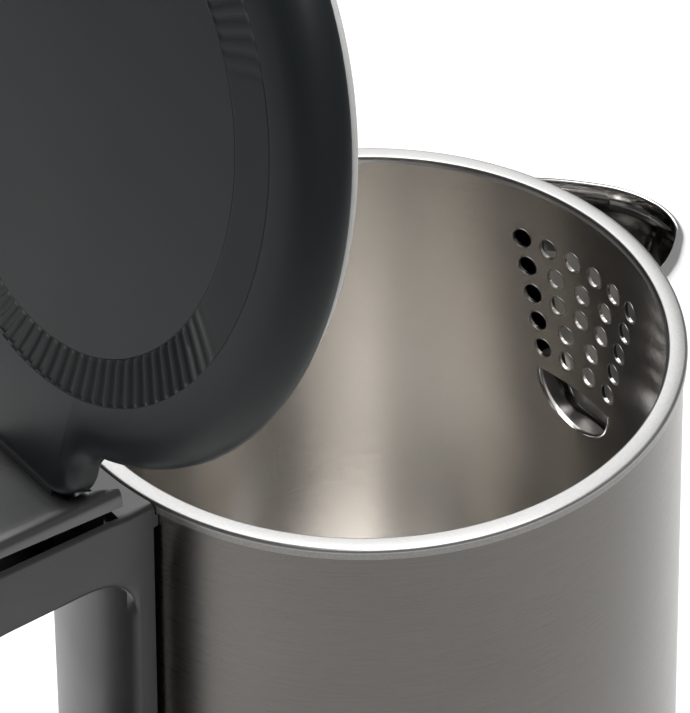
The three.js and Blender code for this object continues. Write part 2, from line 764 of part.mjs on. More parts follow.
function baseBottomPlate() {
  const r = BASE_R - BASE_WALL - GAP;
  const plate = revolve([[0, 1], [r - 1, 1], [r, 2], [r, 3.4], [0, 3.4]]);
  const recesses = [0, 1, 2, 3].map((i) =>
    rod(7.3, 3, SMALL_ROUND).translate(FOOT_CIRCLE, 0, 0.9).rotateZ(((i + 0.5) * Math.PI) / 2));
  const screwHoles = [0, 1, 2].map((i) => {
    const shank = rod(1.7, 8, 8).translate(BASE_SCREWS, 0, 2);
    const head = rod(3.3, 2, 8).translate(BASE_SCREWS, 0, 1.5);
    return join(shank, head).rotateZ(i * THIRD);
  });
  return cut(plate, ...recesses, ...screwHoles);
}

// Connector post with a ring groove and a central hole for the live contacts.
const connectorPost = () => revolve([
  [0, 12], [22, 12], [22, BASE_TOP - BASE_WALL - GAP], [POST_R, BASE_TOP - BASE_WALL - GAP],
  [POST_R, POST_TOP - 1], [POST_R - 1, POST_TOP], [13.2, POST_TOP], [13.2, 26], [10.4, 26],
  [10.4, POST_TOP], [3, POST_TOP], [3, 24], [0, 24],
], 24);
const baseContactRing = () => ring([[10.8, 26.3], [12.8, 26.3], [12.8, 27.4], [10.8, 27.4]], 24);
const swivelCollar = () => ring([
  [POST_R + GAP, BASE_TOP + GAP], [18.9, BASE_TOP + GAP], [18.9, 25.4], [18.2, 26.2], [POST_R + GAP, 26.2],
], 24);

// Rubber foot, standing on the table.
const baseFoot = () => revolve([[0, 0], [6.2, 0], [7, 0.8], [7, 2.1], [0, 2.1]], SMALL_ROUND);

function cordInlet() {
  const collar = ring([[2.8, 0], [5.4, 0], [5.4, 1.2], [4.1, 1.2], [4.1, 6], [2.8, 6]], SMALL_ROUND);
  return collar.rotateY(Math.PI / 2).translate(-BASE_R - 1.6, 0, 9.5);
}

// ---------------------------------------------------------------- assembly
function piece(parent, name, geometry, material) {
  geometry.computeVertexNormals();
  const mesh = new THREE.Mesh(geometry, material());
  mesh.name = name;
  parent.add(mesh);
  return mesh;
}

// Three screws on a circle, the first at an angle from +X.
function screwCircle(group, name, radius, start, z) {
  for (let i = 0; i < 3; i += 1) {
    const angle = start + i * THIRD;
    const fastener = piece(group, `${name}_${i + 1}`, screw(), polishedSteel);
    fastener.position.set(radius * Math.cos(angle), radius * Math.sin(angle), z);
  }
}

function powerBase() {
  const group = new THREE.Group();
  piece(group, 'base_top_shell', baseTopShell(), greyPlastic);
  piece(group, 'base_bottom_plate', baseBottomPlate(), blackPlastic);
  piece(group, 'connector_post', connectorPost(), blackPlastic);
  piece(group, 'base_contact_ring', baseContactRing(), brass);
  piece(group, 'cord_inlet', cordInlet(), rubber);
  for (let i = 0; i < 4; i += 1) {
    const angle = ((i + 0.5) * Math.PI) / 2;
    const foot = piece(group, `base_foot_${i + 1}`, baseFoot(), rubber);
    foot.position.set(FOOT_CIRCLE * Math.cos(angle), FOOT_CIRCLE * Math.sin(angle), 0);
  }
  screwCircle(group, 'base_screw', BASE_SCREWS, 0, 0.4);
  return group;
}

function lid() {
  const group = new THREE.Group();
  const closedLid = new THREE.Group();
  closedLid.position.set(-HINGE_X, 0, LID_GAP - HINGE_Z);
  group.position.set(HINGE_X, 0, HINGE_Z);
  group.rotation.y = -LID_OPEN;
  group.add(closedLid);
  piece(closedLid, 'lid_cover', lidCover(), darkPlastic);
  piece(closedLid, 'lid_grille_ring', lidGrilleRing(), darkPlastic);
  piece(closedLid, 'lid_centre_disc', lidCentreDisc(), darkPlastic);
  piece(closedLid, 'lid_liner', lidLiner(), greyPlastic);
  piece(closedLid, 'lid_seal', lidSeal(), silicone);
  screwCircle(closedLid, 'lid_screw', LID_SCREWS, 0, -7 - SCREW_HEAD - GAP);
  return group;
}

function kettle() {
  const group = new THREE.Group();
  group.position.z = RIM_Z;
  piece(group, 'inner_pot', innerPot(), innerSteel);
  piece(group, 'outer_shell', outerShell(), brushedSteel);
  piece(group, 'spout', spout(), polishedSteel);
  piece(group, 'base_ring', baseRing(), darkPlastic);
  piece(group, 'bottom_cover', bottomCover(), blackPlastic);
  piece(group, 'heater_plate', heaterPlate(), aluminium);
  piece(group, 'heating_element', heatingElement(), polishedSteel);
  piece(group, 'thermostat', thermostat(), blackPlastic);
  piece(group, 'bimetal_disc', bimetalDisc(), brass);
  piece(group, 'ntc_probe', ntcProbe(), polishedSteel);
  piece(group, 'kettle_socket', kettleSocket(), blackPlastic);
  piece(group, 'socket_contact_ring', socketContactRing(), brass);
  piece(group, 'socket_pin', socketPin(), brass);
  piece(group, 'handle_body', handleBody(), greyPlastic);
  piece(group, 'handle_top_cover', handleTopCover(), darkPlastic);
  piece(group, 'grip_cover', gripCover(), darkPlastic);
  piece(group, 'hinge_pin', hingePin(), polishedSteel);
  piece(group, 'lid_spring', lidSpring(), polishedSteel);
  piece(group, 'steam_tube', steamTube(), silicone);
  piece(group, 'release_button', releaseButton(), darkPlastic);
  piece(group, 'button_spring', buttonSpring(), polishedSteel);
  piece(group, 'latch_bar', latchBar(), blackPlastic);
  piece(group, 'power_switch', powerSwitch(), darkPlastic);
  piece(group, 'switch_pivot', switchPivot(), polishedSteel);
  piece(group, 'switch_rod', switchRod(), polishedSteel);
  const lens = piece(group, 'indicator_lens', rod(2.3, 3, 16).rotateY(Math.PI / 2), lampLens);
  lens.position.set(-88.6, 0, -166);
  screwCircle(group, 'bottom_screw', COVER_SCREWS, THIRD / 2, KETTLE_FOOT + 2.4 - SCREW_HEAD - GAP);
  [-1, 1].forEach((side, i) => {
    const fastener = piece(group, `handle_screw_${i + 1}`, screw(), polishedSteel);
    fastener.position.set(-83.5, 10.5 * side, SPINE_BOTTOM - SCREW_HEAD - GAP);
  });
  group.add(lid());
  return group;
}

const object = new THREE.Group();
object.add(powerBase());
piece(object, 'swivel_collar', swivelCollar(), blackPlastic);
object.add(kettle());

export default object;
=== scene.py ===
"""Looks of a cordless electric kettle with an open lid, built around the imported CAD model.

Row frame: metres, +Z up, table at z = 0, spout towards +X, handle towards -X.
Shapes are written in millimetres, below the rim plane (z = 0 at the rim), in the frame of the
closed lid about its own axis, or above the table; a place function takes each to the row frame.
"""

import math

import bmesh
import bpy
import numpy as np
from mathutils import Matrix, Vector


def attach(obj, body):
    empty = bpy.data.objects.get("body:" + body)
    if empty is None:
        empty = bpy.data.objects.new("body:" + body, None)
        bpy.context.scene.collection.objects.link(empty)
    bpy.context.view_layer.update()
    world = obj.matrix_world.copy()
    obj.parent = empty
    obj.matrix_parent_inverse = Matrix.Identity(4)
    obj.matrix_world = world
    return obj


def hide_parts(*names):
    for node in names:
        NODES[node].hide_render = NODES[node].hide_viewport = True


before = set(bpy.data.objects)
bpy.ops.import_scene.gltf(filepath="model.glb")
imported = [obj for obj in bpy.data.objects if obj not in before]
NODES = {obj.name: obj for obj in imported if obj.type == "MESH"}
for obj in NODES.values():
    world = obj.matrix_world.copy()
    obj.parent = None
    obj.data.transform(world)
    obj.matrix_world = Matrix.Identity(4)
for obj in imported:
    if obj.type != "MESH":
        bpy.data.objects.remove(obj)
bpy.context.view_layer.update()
MM = 0.001

# ---- driving dimensions
GAP = 0.3
RIM_Z = 226.0
RIM_R = 70.0
RIM_BAND = 4.2
RIM_EDGE = 2.5
TAPER = 0.05
SHELL_R = 69.15
SHELL_WALL = 0.6
SHELL_BOTTOM = -188.0
POT_R = 65.35
POT_WALL = 0.8
POT_DEPTH = 168.0
POT_CORNER = 9.0
HOLE_R = 2.5
HOLE_ROWS = (6, 5, 5, 4, 4)
HOLE_TOP = 15.4
HOLE_PITCH = 7.48
HOLE_SPREAD = 0.287
HOLE_NARROWING = 0.028
BEAD_R = 0.16
BEAD_AT = 0.1
SLOT_TOP = 51.8
SLOT_HALF = 12.4
LIP_TIP = 90.8
LIP_TIP_R = 18.9
LIP_SIDE = math.radians(41.9)
LIP_ROOT_Z = -2.9
LIP_FALL = 0.228
SPOUT_BOTTOM = -68.0
LID_R = 67.7
LID_H = 7.8
LID_GAP = 1.0
LID_OPEN = math.radians(73.5)
RING_OUT = 54.8
RING_IN = 45.5
SEAM = 0.03
TONGUE_END = -77.6
TONGUE_HALF = 16.3
TONGUE_CORNER = 7.0
HINGE_X = -84.1
HINGE_Z = 1.75
KNUCKLE_R = 6.5
PIN_R = 2.0
EAR_R = 5.9
EAR_Y = 11.9
SPRING_ROOM = 4.3
HANDLE_HALF = 16.8
ROOT_TOP = -0.1
HANDLE_BACK = -142.0
HANDLE_TOP = 8.3
TOP_RISE = 0.065
COVER_START = -79.0
COVER_FRONT = -75.6
POCKET_END = -86.1
TONGUE_ROOM = 0.4
COVER_END = -122.0
COVER_T = 4.6
GROOVE = 2.8
CHANNEL_HALF = 13.6
CHEEK_HALF = 15.9
CORE_HALF = 10.0
CORE_DEPTHS = (4.1, 9.4)
CORE_FRONT = -126.0
CORE_FOOT = -118.0
SPINE_BOTTOM = -196.0
SPINE_CROWN = 3.4
LENS_CROWN = 6.5
SPINE_POWER = 2.0
SPINE_TRIM = 0.35
SWELL_TOP = -115.0
SWELL_RUN = 40.0
SHADOW_GAP = 1.4
SHADOW_CORE = 15.2
TUBE_ROOM = 2.6
BUTTON_X = (-120.0, -105.0)
BUTTON_HALF = 8.0
SWITCH_X = -82.0
SWITCH_Z = -187.0
BASE_R = 80.5
BASE_TOP = 22.0
BASE_WALL = 2.5
POST_R = 16.2
POST_TOP = 35.0
KETTLE_FOOT = BASE_TOP + GAP - RIM_Z

FINE = 192
COARSE = 96
CREASE = 32.0
COVER_STEP = 1.2


# ---- places
def in_row(points):
    return np.asarray(points, float) * MM


def below_rim(points):
    return (np.asarray(points, float) + (0.0, 0.0, RIM_Z)) * MM


def on_lid(points):
    """The frame of the closed lid about its own axis, turned open about the hinge."""
    p = np.asarray(points, float) - (HINGE_X, 0.0, HINGE_Z - LID_GAP)
    c, s = math.cos(LID_OPEN), math.sin(LID_OPEN)
    opened = np.stack([p[:, 0] * c - p[:, 2] * s, p[:, 1], p[:, 0] * s + p[:, 2] * c], 1)
    return below_rim(opened + (HINGE_X, 0.0, HINGE_Z))


def shell_radius(z):
    return SHELL_R - TAPER * z


# ---- outlines
def rounded(corners, steps=8):
    """Outline with curved corners from (x, y, reach) triples."""
    out = []
    count = len(corners)
    for i, (x, y, radius) in enumerate(corners):
        here = np.array((x, y), float)
        if radius <= 0:
            out.append(here)
            continue
        before = np.array(corners[i - 1][:2], float) - here
        after = np.array(corners[(i + 1) % count][:2], float) - here
        before /= np.linalg.norm(before)
        after /= np.linalg.norm(after)
        half = math.acos(float(np.clip(before @ after, -1, 1))) / 2
        reach = radius / math.tan(half)
        start, end = here + before * reach, here + after * reach
        for k in range(steps + 1):
            t = k / steps
            out.append((1 - t) ** 2 * start + 2 * t * (1 - t) * here + t * t * end)
    return [tuple(p) for p in out]


def arc(x, y, radius, start, end, steps):
    """Points of an arc about (x, y), in degrees."""
    angles = np.radians(np.linspace(start, end, steps + 1))
    return [(x + radius * math.cos(a), y + radius * math.sin(a)) for a in angles]


def around(radius, count, start=0.0):
    """Evenly spaced places on a circle, with the first at this angle."""
    angles = [start + i * 2 * math.pi / count for i in range(count)]
    return [(radius * math.cos(a), radius * math.sin(a)) for a in angles]


def resampled(path, places):
    """Points of a path at the distances along it that places gives for its whole length."""
    path = np.array(path)
    along = np.r_[0, np.cumsum(np.linalg.norm(np.diff(path, axis=0), axis=1))]
    at = places(along[-1])
    return np.stack([np.interp(at, along, path[:, k]) for k in (0, 1)], 1)


# ---- solids as (points, faces)
def lathe(profile, segments=COARSE, loop=False):
    """Solid of revolution about Z from (radius, z) pairs; a loop joins its last point to its first."""
    points, rows = [], []
    for r, z in profile:
        if r < 1e-6:
            rows.append([len(points)] * segments)
            points.append((0.0, 0.0, z))
            continue
        rows.append(list(range(len(points), len(points) + segments)))
        for k in range(segments):
            a = 2 * math.pi * k / segments
            points.append((r * math.cos(a), r * math.sin(a), z))
    if loop:
        rows.append(rows[0])
    return points, strip_faces(rows, True)


def strip_faces(rows, around):
    """Faces between neighbouring rows of point numbers."""
    faces = []
    for low, high in zip(rows, rows[1:]):
        count = len(low) if around else len(low) - 1
        for k in range(count):
            n = (k + 1) % len(low)
            quad = []
            for index in (low[k], low[n], high[n], high[k]):
                if index not in quad:
                    quad.append(index)
            if len(quad) > 2:
                faces.append(tuple(quad))
    return faces


def numbered(rings):
    """Points of rings of equal point count, and the rows of their numbers."""
    count = len(rings[0])
    points = [tuple(p) for ring in rings for p in ring]
    return points, [list(range(i * count, (i + 1) * count)) for i in range(len(rings))]


def loft(rings):
    """Solid through rings of equal point count, with a flat face at each end."""
    points, rows = numbered(rings)
    faces = strip_faces(rows, True)
    faces += [tuple(reversed(rows[0])), tuple(rows[-1])]
    return points, faces


def prism(outline, low, high, axis):
    """Outline in the two other axes, in their cyclic order x, y, z, extruded along one axis."""
    order = {"x": lambda a, b, t: (t, a, b), "y": lambda a, b, t: (a, t, b), "z": lambda a, b, t: (a, b, t)}
    place = order[axis]
    return loft([[place(a, b, t) for a, b in outline] for t in (low, high)])


def block(x0, x1, y0, y1, z0, z1):
    return prism([(x0, y0), (x1, y0), (x1, y1), (x0, y1)], z0, z1, "z")


def rod(radius, low, high, axis="z", at=(0.0, 0.0), segments=48):
    """Cylinder between low and high on one axis, centred at the two other coordinates."""
    circle = [(at[0] + x, at[1] + y) for x, y in arc(0, 0, radius, 0, 360, segments)[:-1]]
    return prism(circle, low, high, axis)


def moved(solid, offset=(0.0, 0.0, 0.0), turn=0.0):
    """Solid turned about Z, in radians, and then shifted."""
    c, s = math.cos(turn), math.sin(turn)
    p = np.asarray(solid[0], float)
    q = np.stack([p[:, 0] * c - p[:, 1] * s, p[:, 0] * s + p[:, 1] * c, p[:, 2]], 1)
    return (q + offset).tolist(), solid[1]


def joined(solids):
    """Several solids as one list of points and faces."""
    points, faces = [], []
    for some_points, some_faces in solids:
        start = len(points)
        points += list(some_points)
        faces += [tuple(index + start for index in face) for face in some_faces]
    return points, faces


def laid_on_x(solid):
    """Solid of revolution about Z, laid with its axis along +X."""
    p = np.asarray(solid[0], float)
    return np.stack([p[:, 2], p[:, 1], -p[:, 0]], 1).tolist(), solid[1]


# ---- Blender objects
def build(name, solid, place=in_row, smooth=CREASE):
    mesh = bpy.data.meshes.new(name)
    mesh.from_pydata(place(solid[0]).tolist(), [], solid[1])
    tidy = bmesh.new()
    tidy.from_mesh(mesh)
    bmesh.ops.recalc_face_normals(tidy, faces=tidy.faces)
    tidy.to_mesh(mesh)
    tidy.free()
    made = bpy.data.objects.new(name, mesh)
    bpy.context.scene.collection.objects.link(made)
    shade(made, smooth)
    return made


def cutter(solid, place=below_rim):
    return build("cutter", solid, place)


def shade(piece, smooth):
    """Smooth faces, with a crease where they meet at more than this many degrees."""
    mesh = piece.data
    mesh.polygons.foreach_set("use_smooth", [True] * len(mesh.polygons))
    mesh.set_sharp_from_angle(angle=math.radians(smooth))


def bake(piece):
    """Applies the modifiers."""
    bpy.context.view_layer.update()
    graph = bpy.context.evaluated_depsgraph_get()
    baked = bpy.data.meshes.new_from_object(piece.evaluated_get(graph), depsgraph=graph)
    old = piece.data
    piece.modifiers.clear()
    piece.data = baked
    bpy.data.meshes.remove(old)


def combine(piece, operation, others, smooth):
    """Joins or cuts a piece with others, each an object or a solid placed below the rim."""
    others = [cutter(other) if isinstance(other, tuple) else other for other in others]
    for other in others:
        modifier = piece.modifiers.new("combine", "BOOLEAN")
        modifier.operation = operation
        modifier.solver = "EXACT"
        modifier.object = other
    bake(piece)
    for other in others:
        mesh = other.data
        bpy.data.objects.remove(other)
        bpy.data.meshes.remove(mesh)
    shade(piece, smooth)
    return piece


def carve(piece, *others, smooth=CREASE):
    return combine(piece, "DIFFERENCE", others, smooth)


def fuse(piece, *others, smooth=CREASE):
    return combine(piece, "UNION", others, smooth)


def soften(piece, width, segments, angle):
    """Rounds the edges sharper than this angle."""
    modifier = piece.modifiers.new("soften", "BEVEL")
    modifier.width = width * MM
    modifier.segments = segments
    modifier.limit_method = "ANGLE"
    modifier.angle_limit = math.radians(angle)
    modifier.use_clamp_overlap = True
    bake(piece)
    shade(piece, CREASE)
    return piece


def finish_piece(piece, body, slot, material, *nodes):
    """Gives the piece its material and body, and hides the CAD nodes that it stands for; the slot is not
    used.
    """
    if not piece.data.materials:
        piece.data.materials.append(material)
    else:
        piece.data.materials[0] = material
    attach(piece, body)
    if nodes:
        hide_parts(*nodes)
    return piece


def cone_normals(piece, radius_at, outward, below, taper):
    """Exact normals on the faces that lie on a wall of revolution, so that cuts leave no marks on it."""
    mesh = piece.data
    normals = np.array([corner.vector[:] for corner in mesh.corner_normals])
    points = np.array([v.co[:] for v in mesh.vertices]) / MM
    radius = np.hypot(points[:, 0], points[:, 1])
    z = points[:, 2] - RIM_Z
    on_wall = (np.abs(radius - radius_at(z)) < 0.03) & (z < below)
    side = 1.0 if outward else -1.0
    for face in mesh.polygons:
        if abs(face.normal[2]) > 0.3:
            continue
        corners = list(face.loop_indices)
        indices = list(face.vertices)
        if not all(on_wall[i] for i in indices):
            continue
        for corner, i in zip(corners, indices):
            flat = points[i, :2] / radius[i]
            normals[corner] = (side * flat[0], side * flat[1], side * taper)
            normals[corner] /= np.linalg.norm(normals[corner])
    mesh.normals_split_custom_set(normals.tolist())


# ---- materials
class Finish:
    """A node material that starts from a Principled shader."""

    def __init__(self, name, **values):
        self.material = bpy.data.materials.new(name)
        self.material.use_nodes = True
        self.nodes = self.material.node_tree.nodes
        self.links = self.material.node_tree.links
        self.shader = self.nodes["Principled BSDF"]
        for key, value in values.items():
            self.shader.inputs[key.replace("_", " ")].default_value = value

    def node(self, kind, **inputs):
        made = self.nodes.new(kind)
        for key, value in inputs.items():
            made.inputs[key.replace("_", " ")].default_value = value
        return made

    def math(self, operation, a, b):
        made = self.nodes.new("ShaderNodeMath")
        made.operation = operation
        for socket, value in zip(made.inputs, (a, b)):
            if isinstance(value, (int, float)):
                socket.default_value = value
            else:
                self.links.new(value, socket)
        return made.outputs[0]

    def position(self):
        return self.node("ShaderNodeTexCoord").outputs["Object"]

    def noise(self, scale, detail=3.0, where=None, roughness=0.55):
        made = self.node("ShaderNodeTexNoise", Scale=scale, Detail=detail, Roughness=roughness)
        self.links.new(where or self.position(), made.inputs["Vector"])
        return made.outputs["Fac"]

    def blend(self, a, share, b):
        """Mix of two sources, with this share of the first."""
        return self.math("ADD", self.math("MULTIPLY", a, share), self.math("MULTIPLY", b, 1 - share))

    def tint(self, source, dark, light, start=0.3, end=0.7):
        """Base colour between two tones along a source."""
        ramp = self.node("ShaderNodeValToRGB")
        ramp.color_ramp.elements[0].position = start
        ramp.color_ramp.elements[1].position = end
        ramp.color_ramp.elements[0].color = (*dark, 1)
        ramp.color_ramp.elements[1].color = (*light, 1)
        self.links.new(source, ramp.inputs["Fac"])
        self.links.new(ramp.outputs["Color"], self.shader.inputs["Base Color"])

    def rough(self, source, low, high):
        """Roughness from low to high along a source."""
        made = self.node("ShaderNodeMapRange", From_Min=0.3, From_Max=0.7, To_Min=low, To_Max=high)
        self.links.new(source, made.inputs["Value"])
        self.links.new(made.outputs["Result"], self.shader.inputs["Roughness"])

    def bump(self, source, strength, distance):
        made = self.node("ShaderNodeBump", Strength=strength, Distance=distance)
        self.links.new(source, made.inputs["Height"])
        self.links.new(made.outputs["Normal"], self.shader.inputs["Normal"])

    def wrap(self, around, along):
        """Coordinates that run around Z and along Z, for lines brushed round a wall."""
        split = self.node("ShaderNodeSeparateXYZ")
        self.links.new(self.position(), split.inputs[0])
        angle = self.math("ARCTAN2", split.outputs["Y"], split.outputs["X"])
        around_z = self.node("ShaderNodeCombineXYZ")
        self.links.new(self.math("MULTIPLY", angle, around), around_z.inputs["X"])
        self.links.new(self.math("MULTIPLY", split.outputs["Z"], along), around_z.inputs["Z"])
        return around_z.outputs[0]

    def tangent_round_z(self):
        made = self.node("ShaderNodeTangent")
        made.direction_type = "RADIAL"
        made.axis = "Z"
        self.links.new(made.outputs[0], self.shader.inputs["Tangent"])


def brushed(name, dark, light, rough_low, rough_high, anisotropic, strength):
    """Steel with fine lines brushed round it."""
    made = Finish(name, Metallic=1.0, Anisotropic=anisotropic, Anisotropic_Rotation=0.25)
    lines = made.noise(1.0, 3.0, made.wrap(5.0, 3600.0), 0.6)
    clouds = made.noise(14.0, 2.0)
    made.tint(made.blend(lines, 0.6, clouds), dark, light, 0.35, 0.65)
    made.rough(lines, rough_low, rough_high)
    made.bump(lines, strength, 0.00002)
    made.tangent_round_z()
    return made.material


def satin_steel(name, dark, light, rough_low, rough_high):
    made = Finish(name, Metallic=1.0)
    grain = made.noise(1800.0, 2.0)
    made.tint(grain, dark, light)
    made.rough(made.noise(60.0, 2.0), rough_low, rough_high)
    made.bump(grain, 0.12, 0.00003)
    return made.material


def polished(name, dark, light, rough_low, rough_high, wave):
    """Bright steel with the slight unevenness that drawing leaves."""
    made = Finish(name, Metallic=1.0)
    made.tint(made.noise(35.0, 2.0), dark, light)
    made.rough(made.noise(90.0, 3.0), rough_low, rough_high)
    made.bump(made.noise(45.0, 2.0), wave, 0.0012)
    return made.material


def plastic(name, dark, light, rough_low, rough_high, grain_scale=2600.0, grain=0.10, ior=1.5):
    """Moulded plastic with a fine eroded texture."""
    made = Finish(name, IOR=ior)
    texture = made.noise(grain_scale, 2.0)
    made.tint(made.blend(texture, 0.35, made.noise(9.0, 2.0)), dark, light)
    made.rough(made.noise(40.0, 3.0), rough_low, rough_high)
    made.bump(texture, grain, 0.00006)
    return made.material


SHELL_STEEL = brushed("shell_steel", (0.112, 0.106, 0.098), (0.137, 0.130, 0.121), 0.26, 0.32, 0.6, 0.06)
POT_STEEL = brushed("pot_steel", (0.60, 0.580, 0.553), (0.64, 0.620, 0.592), 0.20, 0.25, 0.7, 0.04)
RIM_STEEL = satin_steel("rim_steel", (0.275, 0.273, 0.269), (0.305, 0.303, 0.299), 0.30, 0.36)
# Rim's turned-down edge and the spout's outside below the lip: a darker copy of the rim steel, painted shade
# for these shadowed sides.
EDGE_PAINTED_SHADE_STEEL = satin_steel("edge_painted_shade_steel", (0.17, 0.165, 0.155), (0.21, 0.205, 0.195), 0.3, 0.38)
SPOUT_STEEL = polished("spout_steel", (0.56, 0.557, 0.55), (0.63, 0.627, 0.62), 0.08, 0.15, 0.25)
# Spout's inner throat below the lip: a darker copy of the lip's steel, painted shade for the dark inside of
# the spout.
THROAT_PAINTED_SHADE_STEEL = polished("throat_painted_shade_steel", (0.30, 0.293, 0.283), (0.36, 0.353, 0.343), 0.08, 0.16, 0.5)
# Trough below the slot: a darker copy of the lip's steel, painted shade for the gap between pot and shell.
TROUGH_PAINTED_SHADE_STEEL = polished("trough_painted_shade_steel", (0.20, 0.195, 0.19), (0.26, 0.255, 0.25), 0.15, 0.22, 0.1)
# Spout's inner wall below the throat: the lip's steel with a much lighter base colour, painted light for the
# light that falls in through the spout's opening; its higher roughness is real.
SPOUT_PAINTED_LIGHT_STEEL = polished("spout_painted_light_steel", (0.76, 0.745, 0.72), (0.84, 0.825, 0.80), 0.30, 0.38, 0.2)
WIRE_STEEL = polished("wire_steel", (0.5, 0.5, 0.49), (0.6, 0.6, 0.59), 0.2, 0.3, 0.1)
DARK_WIRE = polished("dark_wire", (0.04, 0.04, 0.04), (0.06, 0.06, 0.06), 0.35, 0.45, 0.1)
LID_PLASTIC = plastic("lid_plastic", (0.006, 0.008, 0.0087), (0.008, 0.010, 0.0107), 0.34, 0.40, ior=1.31)
RING_PLASTIC = plastic("ring_plastic", (0.0048, 0.0064, 0.007), (0.0064, 0.008, 0.0086), 0.42, 0.48, ior=1.3)
HANDLE_TONES = ((0.0125, 0.0127, 0.013), (0.0155, 0.0157, 0.016))
HANDLE_PLASTIC = plastic("handle_plastic", *HANDLE_TONES, 0.31, 0.37)
COVER_PLASTIC = plastic("cover_plastic", *HANDLE_TONES, 0.26, 0.31, ior=1.75)
BLACK_PLASTIC = plastic("black_plastic", (0.006, 0.006, 0.0065), (0.009, 0.009, 0.0095), 0.42, 0.52)
LINER_PLASTIC = plastic("liner_plastic", (0.075, 0.076, 0.078), (0.09, 0.091, 0.093), 0.4, 0.5)
BASE_PLASTIC = plastic("base_plastic", (0.045, 0.046, 0.047), (0.056, 0.057, 0.058), 0.38, 0.46)
SILICONE = plastic("silicone", (0.42, 0.42, 0.41), (0.50, 0.50, 0.49), 0.5, 0.62, 900.0, 0.05)
RUBBER = plastic("rubber", (0.010, 0.010, 0.010), (0.016, 0.016, 0.016), 0.7, 0.85, 1500.0, 0.2)
ALUMINIUM = satin_steel("aluminium", (0.62, 0.63, 0.64), (0.72, 0.73, 0.74), 0.35, 0.45)
BRASS = polished("brass", (0.60, 0.42, 0.16), (0.70, 0.50, 0.21), 0.2, 0.32, 0.1)
LENS = plastic("lens", (0.62, 0.64, 0.68), (0.70, 0.72, 0.75), 0.15, 0.22, 700.0, 0.04)


# ---- pot and shell
def strainer_hole(row, index):
    """Cutter for one hole, and the bead that runs round its edge on the inside of the wall."""
    half = HOLE_SPREAD - HOLE_NARROWING * row
    z = -(HOLE_TOP + HOLE_PITCH * row)
    angle = half - 2 * half * index / (HOLE_ROWS[row] - 1)
    profile = [(0, POT_R + 4), (HOLE_R, POT_R + 4), (HOLE_R, POT_R - 2), (0, POT_R - 2)]
    bead = [(HOLE_R + BEAD_AT + x, POT_R + y) for x, y in arc(0, 0, BEAD_R, 0, 360, 8)[:-1]]
    drill = moved(laid_on_x(lathe(profile, 32)), (0, 0, z), angle)
    return drill, moved(laid_on_x(lathe(bead, 32, True)), (0, 0, z), angle)


def slot_outline(grow, steps=28):
    """Half-moon outline in y and z, grown on every side."""
    radius = SLOT_HALF + grow
    start = math.degrees(math.asin(min(1.0, grow / radius)))
    return arc(0, -SLOT_TOP, radius, 180 - start, 360 + start, steps)


def pot_profile():
    floor = -POT_DEPTH
    corner = floor + POT_CORNER
    corner_r = POT_R - POT_CORNER
    rim_in = RIM_R - RIM_BAND
    return [
        (0, floor - POT_WALL),
        *arc(corner_r, corner, POT_CORNER + POT_WALL, -90, 0, 10),
        (POT_R + POT_WALL, -5),
        (rim_in + 0.9, -1.9),
        (rim_in + 1.2, -1.2),
        (RIM_R - 1, -1.2),
        (RIM_R - 1, -RIM_EDGE + 0.15),
        (RIM_R - 0.85, -RIM_EDGE),
        (RIM_R - 0.15, -RIM_EDGE),
        (RIM_R, -RIM_EDGE + 0.15),
        *arc(RIM_R - 0.8, -0.8, 0.8, 0, 90, 5),
        *arc(rim_in + 0.6, -0.6, 0.6, 90, 180, 5),
        (rim_in, -0.9),
        (rim_in - 0.1, -1.15),
        (POT_R, -1.6),
        *arc(corner_r, corner, POT_CORNER, 0, -90, 10),
        (44, floor),
        (43, floor + 0.5),
        (0, floor + 0.5),
    ]


def inner_pot():
    pot = build("pot_wall", lathe(pot_profile(), 256), below_rim)
    holes = [strainer_hole(row, i) for row, count in enumerate(HOLE_ROWS) for i in range(count)]
    drills = [drill for drill, _ in holes]
    drills.append(prism(slot_outline(0), POT_R - 6, POT_R + 10, "x"))
    carve(pot, *drills)
    cone_normals(pot, lambda z: POT_R, False, -1.5, 0.0)
    finish_piece(pot, "kettle", "pot_steel", POT_STEEL, "inner_pot")
    beads = build("hole_beads", joined([bead for _, bead in holes]), below_rim, 60)
    finish_piece(beads, "kettle", "pot_steel", RIM_STEEL)
    # Rim top: rim steel. Turned-down edge: the darker edge steel, which is painted shade.
    pot.data.materials.append(RIM_STEEL)
    pot.data.materials.append(EDGE_PAINTED_SHADE_STEEL)
    for face in pot.data.polygons:
        height = face.center.z / MM - RIM_Z
        radius = math.hypot(face.center.x, face.center.y) / MM
        if height > -0.75:
            face.material_index = 1
        elif height > -RIM_EDGE - 0.1 and radius > RIM_R - 0.9:
            face.material_index = 2


# Section of the slot's turned edge: share of the way from its outer to its inner line, and
# distance behind the wall.
LIP_BEAD = ((0.0, -0.02), (0.25, -0.2), (0.5, -0.26), (0.75, -0.16), (1.0, 0.1), (1.0, 1.1), (0.0, 1.1))


def slot_lip():
    """Turned edge of the half-moon slot, as a bead round the opening."""
    rings = []
    for outer, inner in zip(slot_outline(0.4), slot_outline(-0.15)):
        ring = []
        for share, behind in LIP_BEAD:
            y = outer[0] + (inner[0] - outer[0]) * share
            z = outer[1] + (inner[1] - outer[1]) * share
            ring.append((math.sqrt((POT_R + behind) ** 2 - y * y), y, z))
        rings.append(ring)
    lip = build("slot_lip", loft(rings), below_rim, 40)
    finish_piece(lip, "kettle", "pot_steel", SPOUT_STEEL)


# Outline, in y and z, of the trough that closes the gap between pot and shell below the slot.
TROUGH_OUTLINE = (
    (14.4, -49, 0), (13.2, -56, 4), (8, -65.2, 6), (-8, -65.2, 6), (-13.2, -56, 4), (-14.4, -49, 0),
)
TROUGH_WALL = 0.5
TROUGH_STEP = 1.0


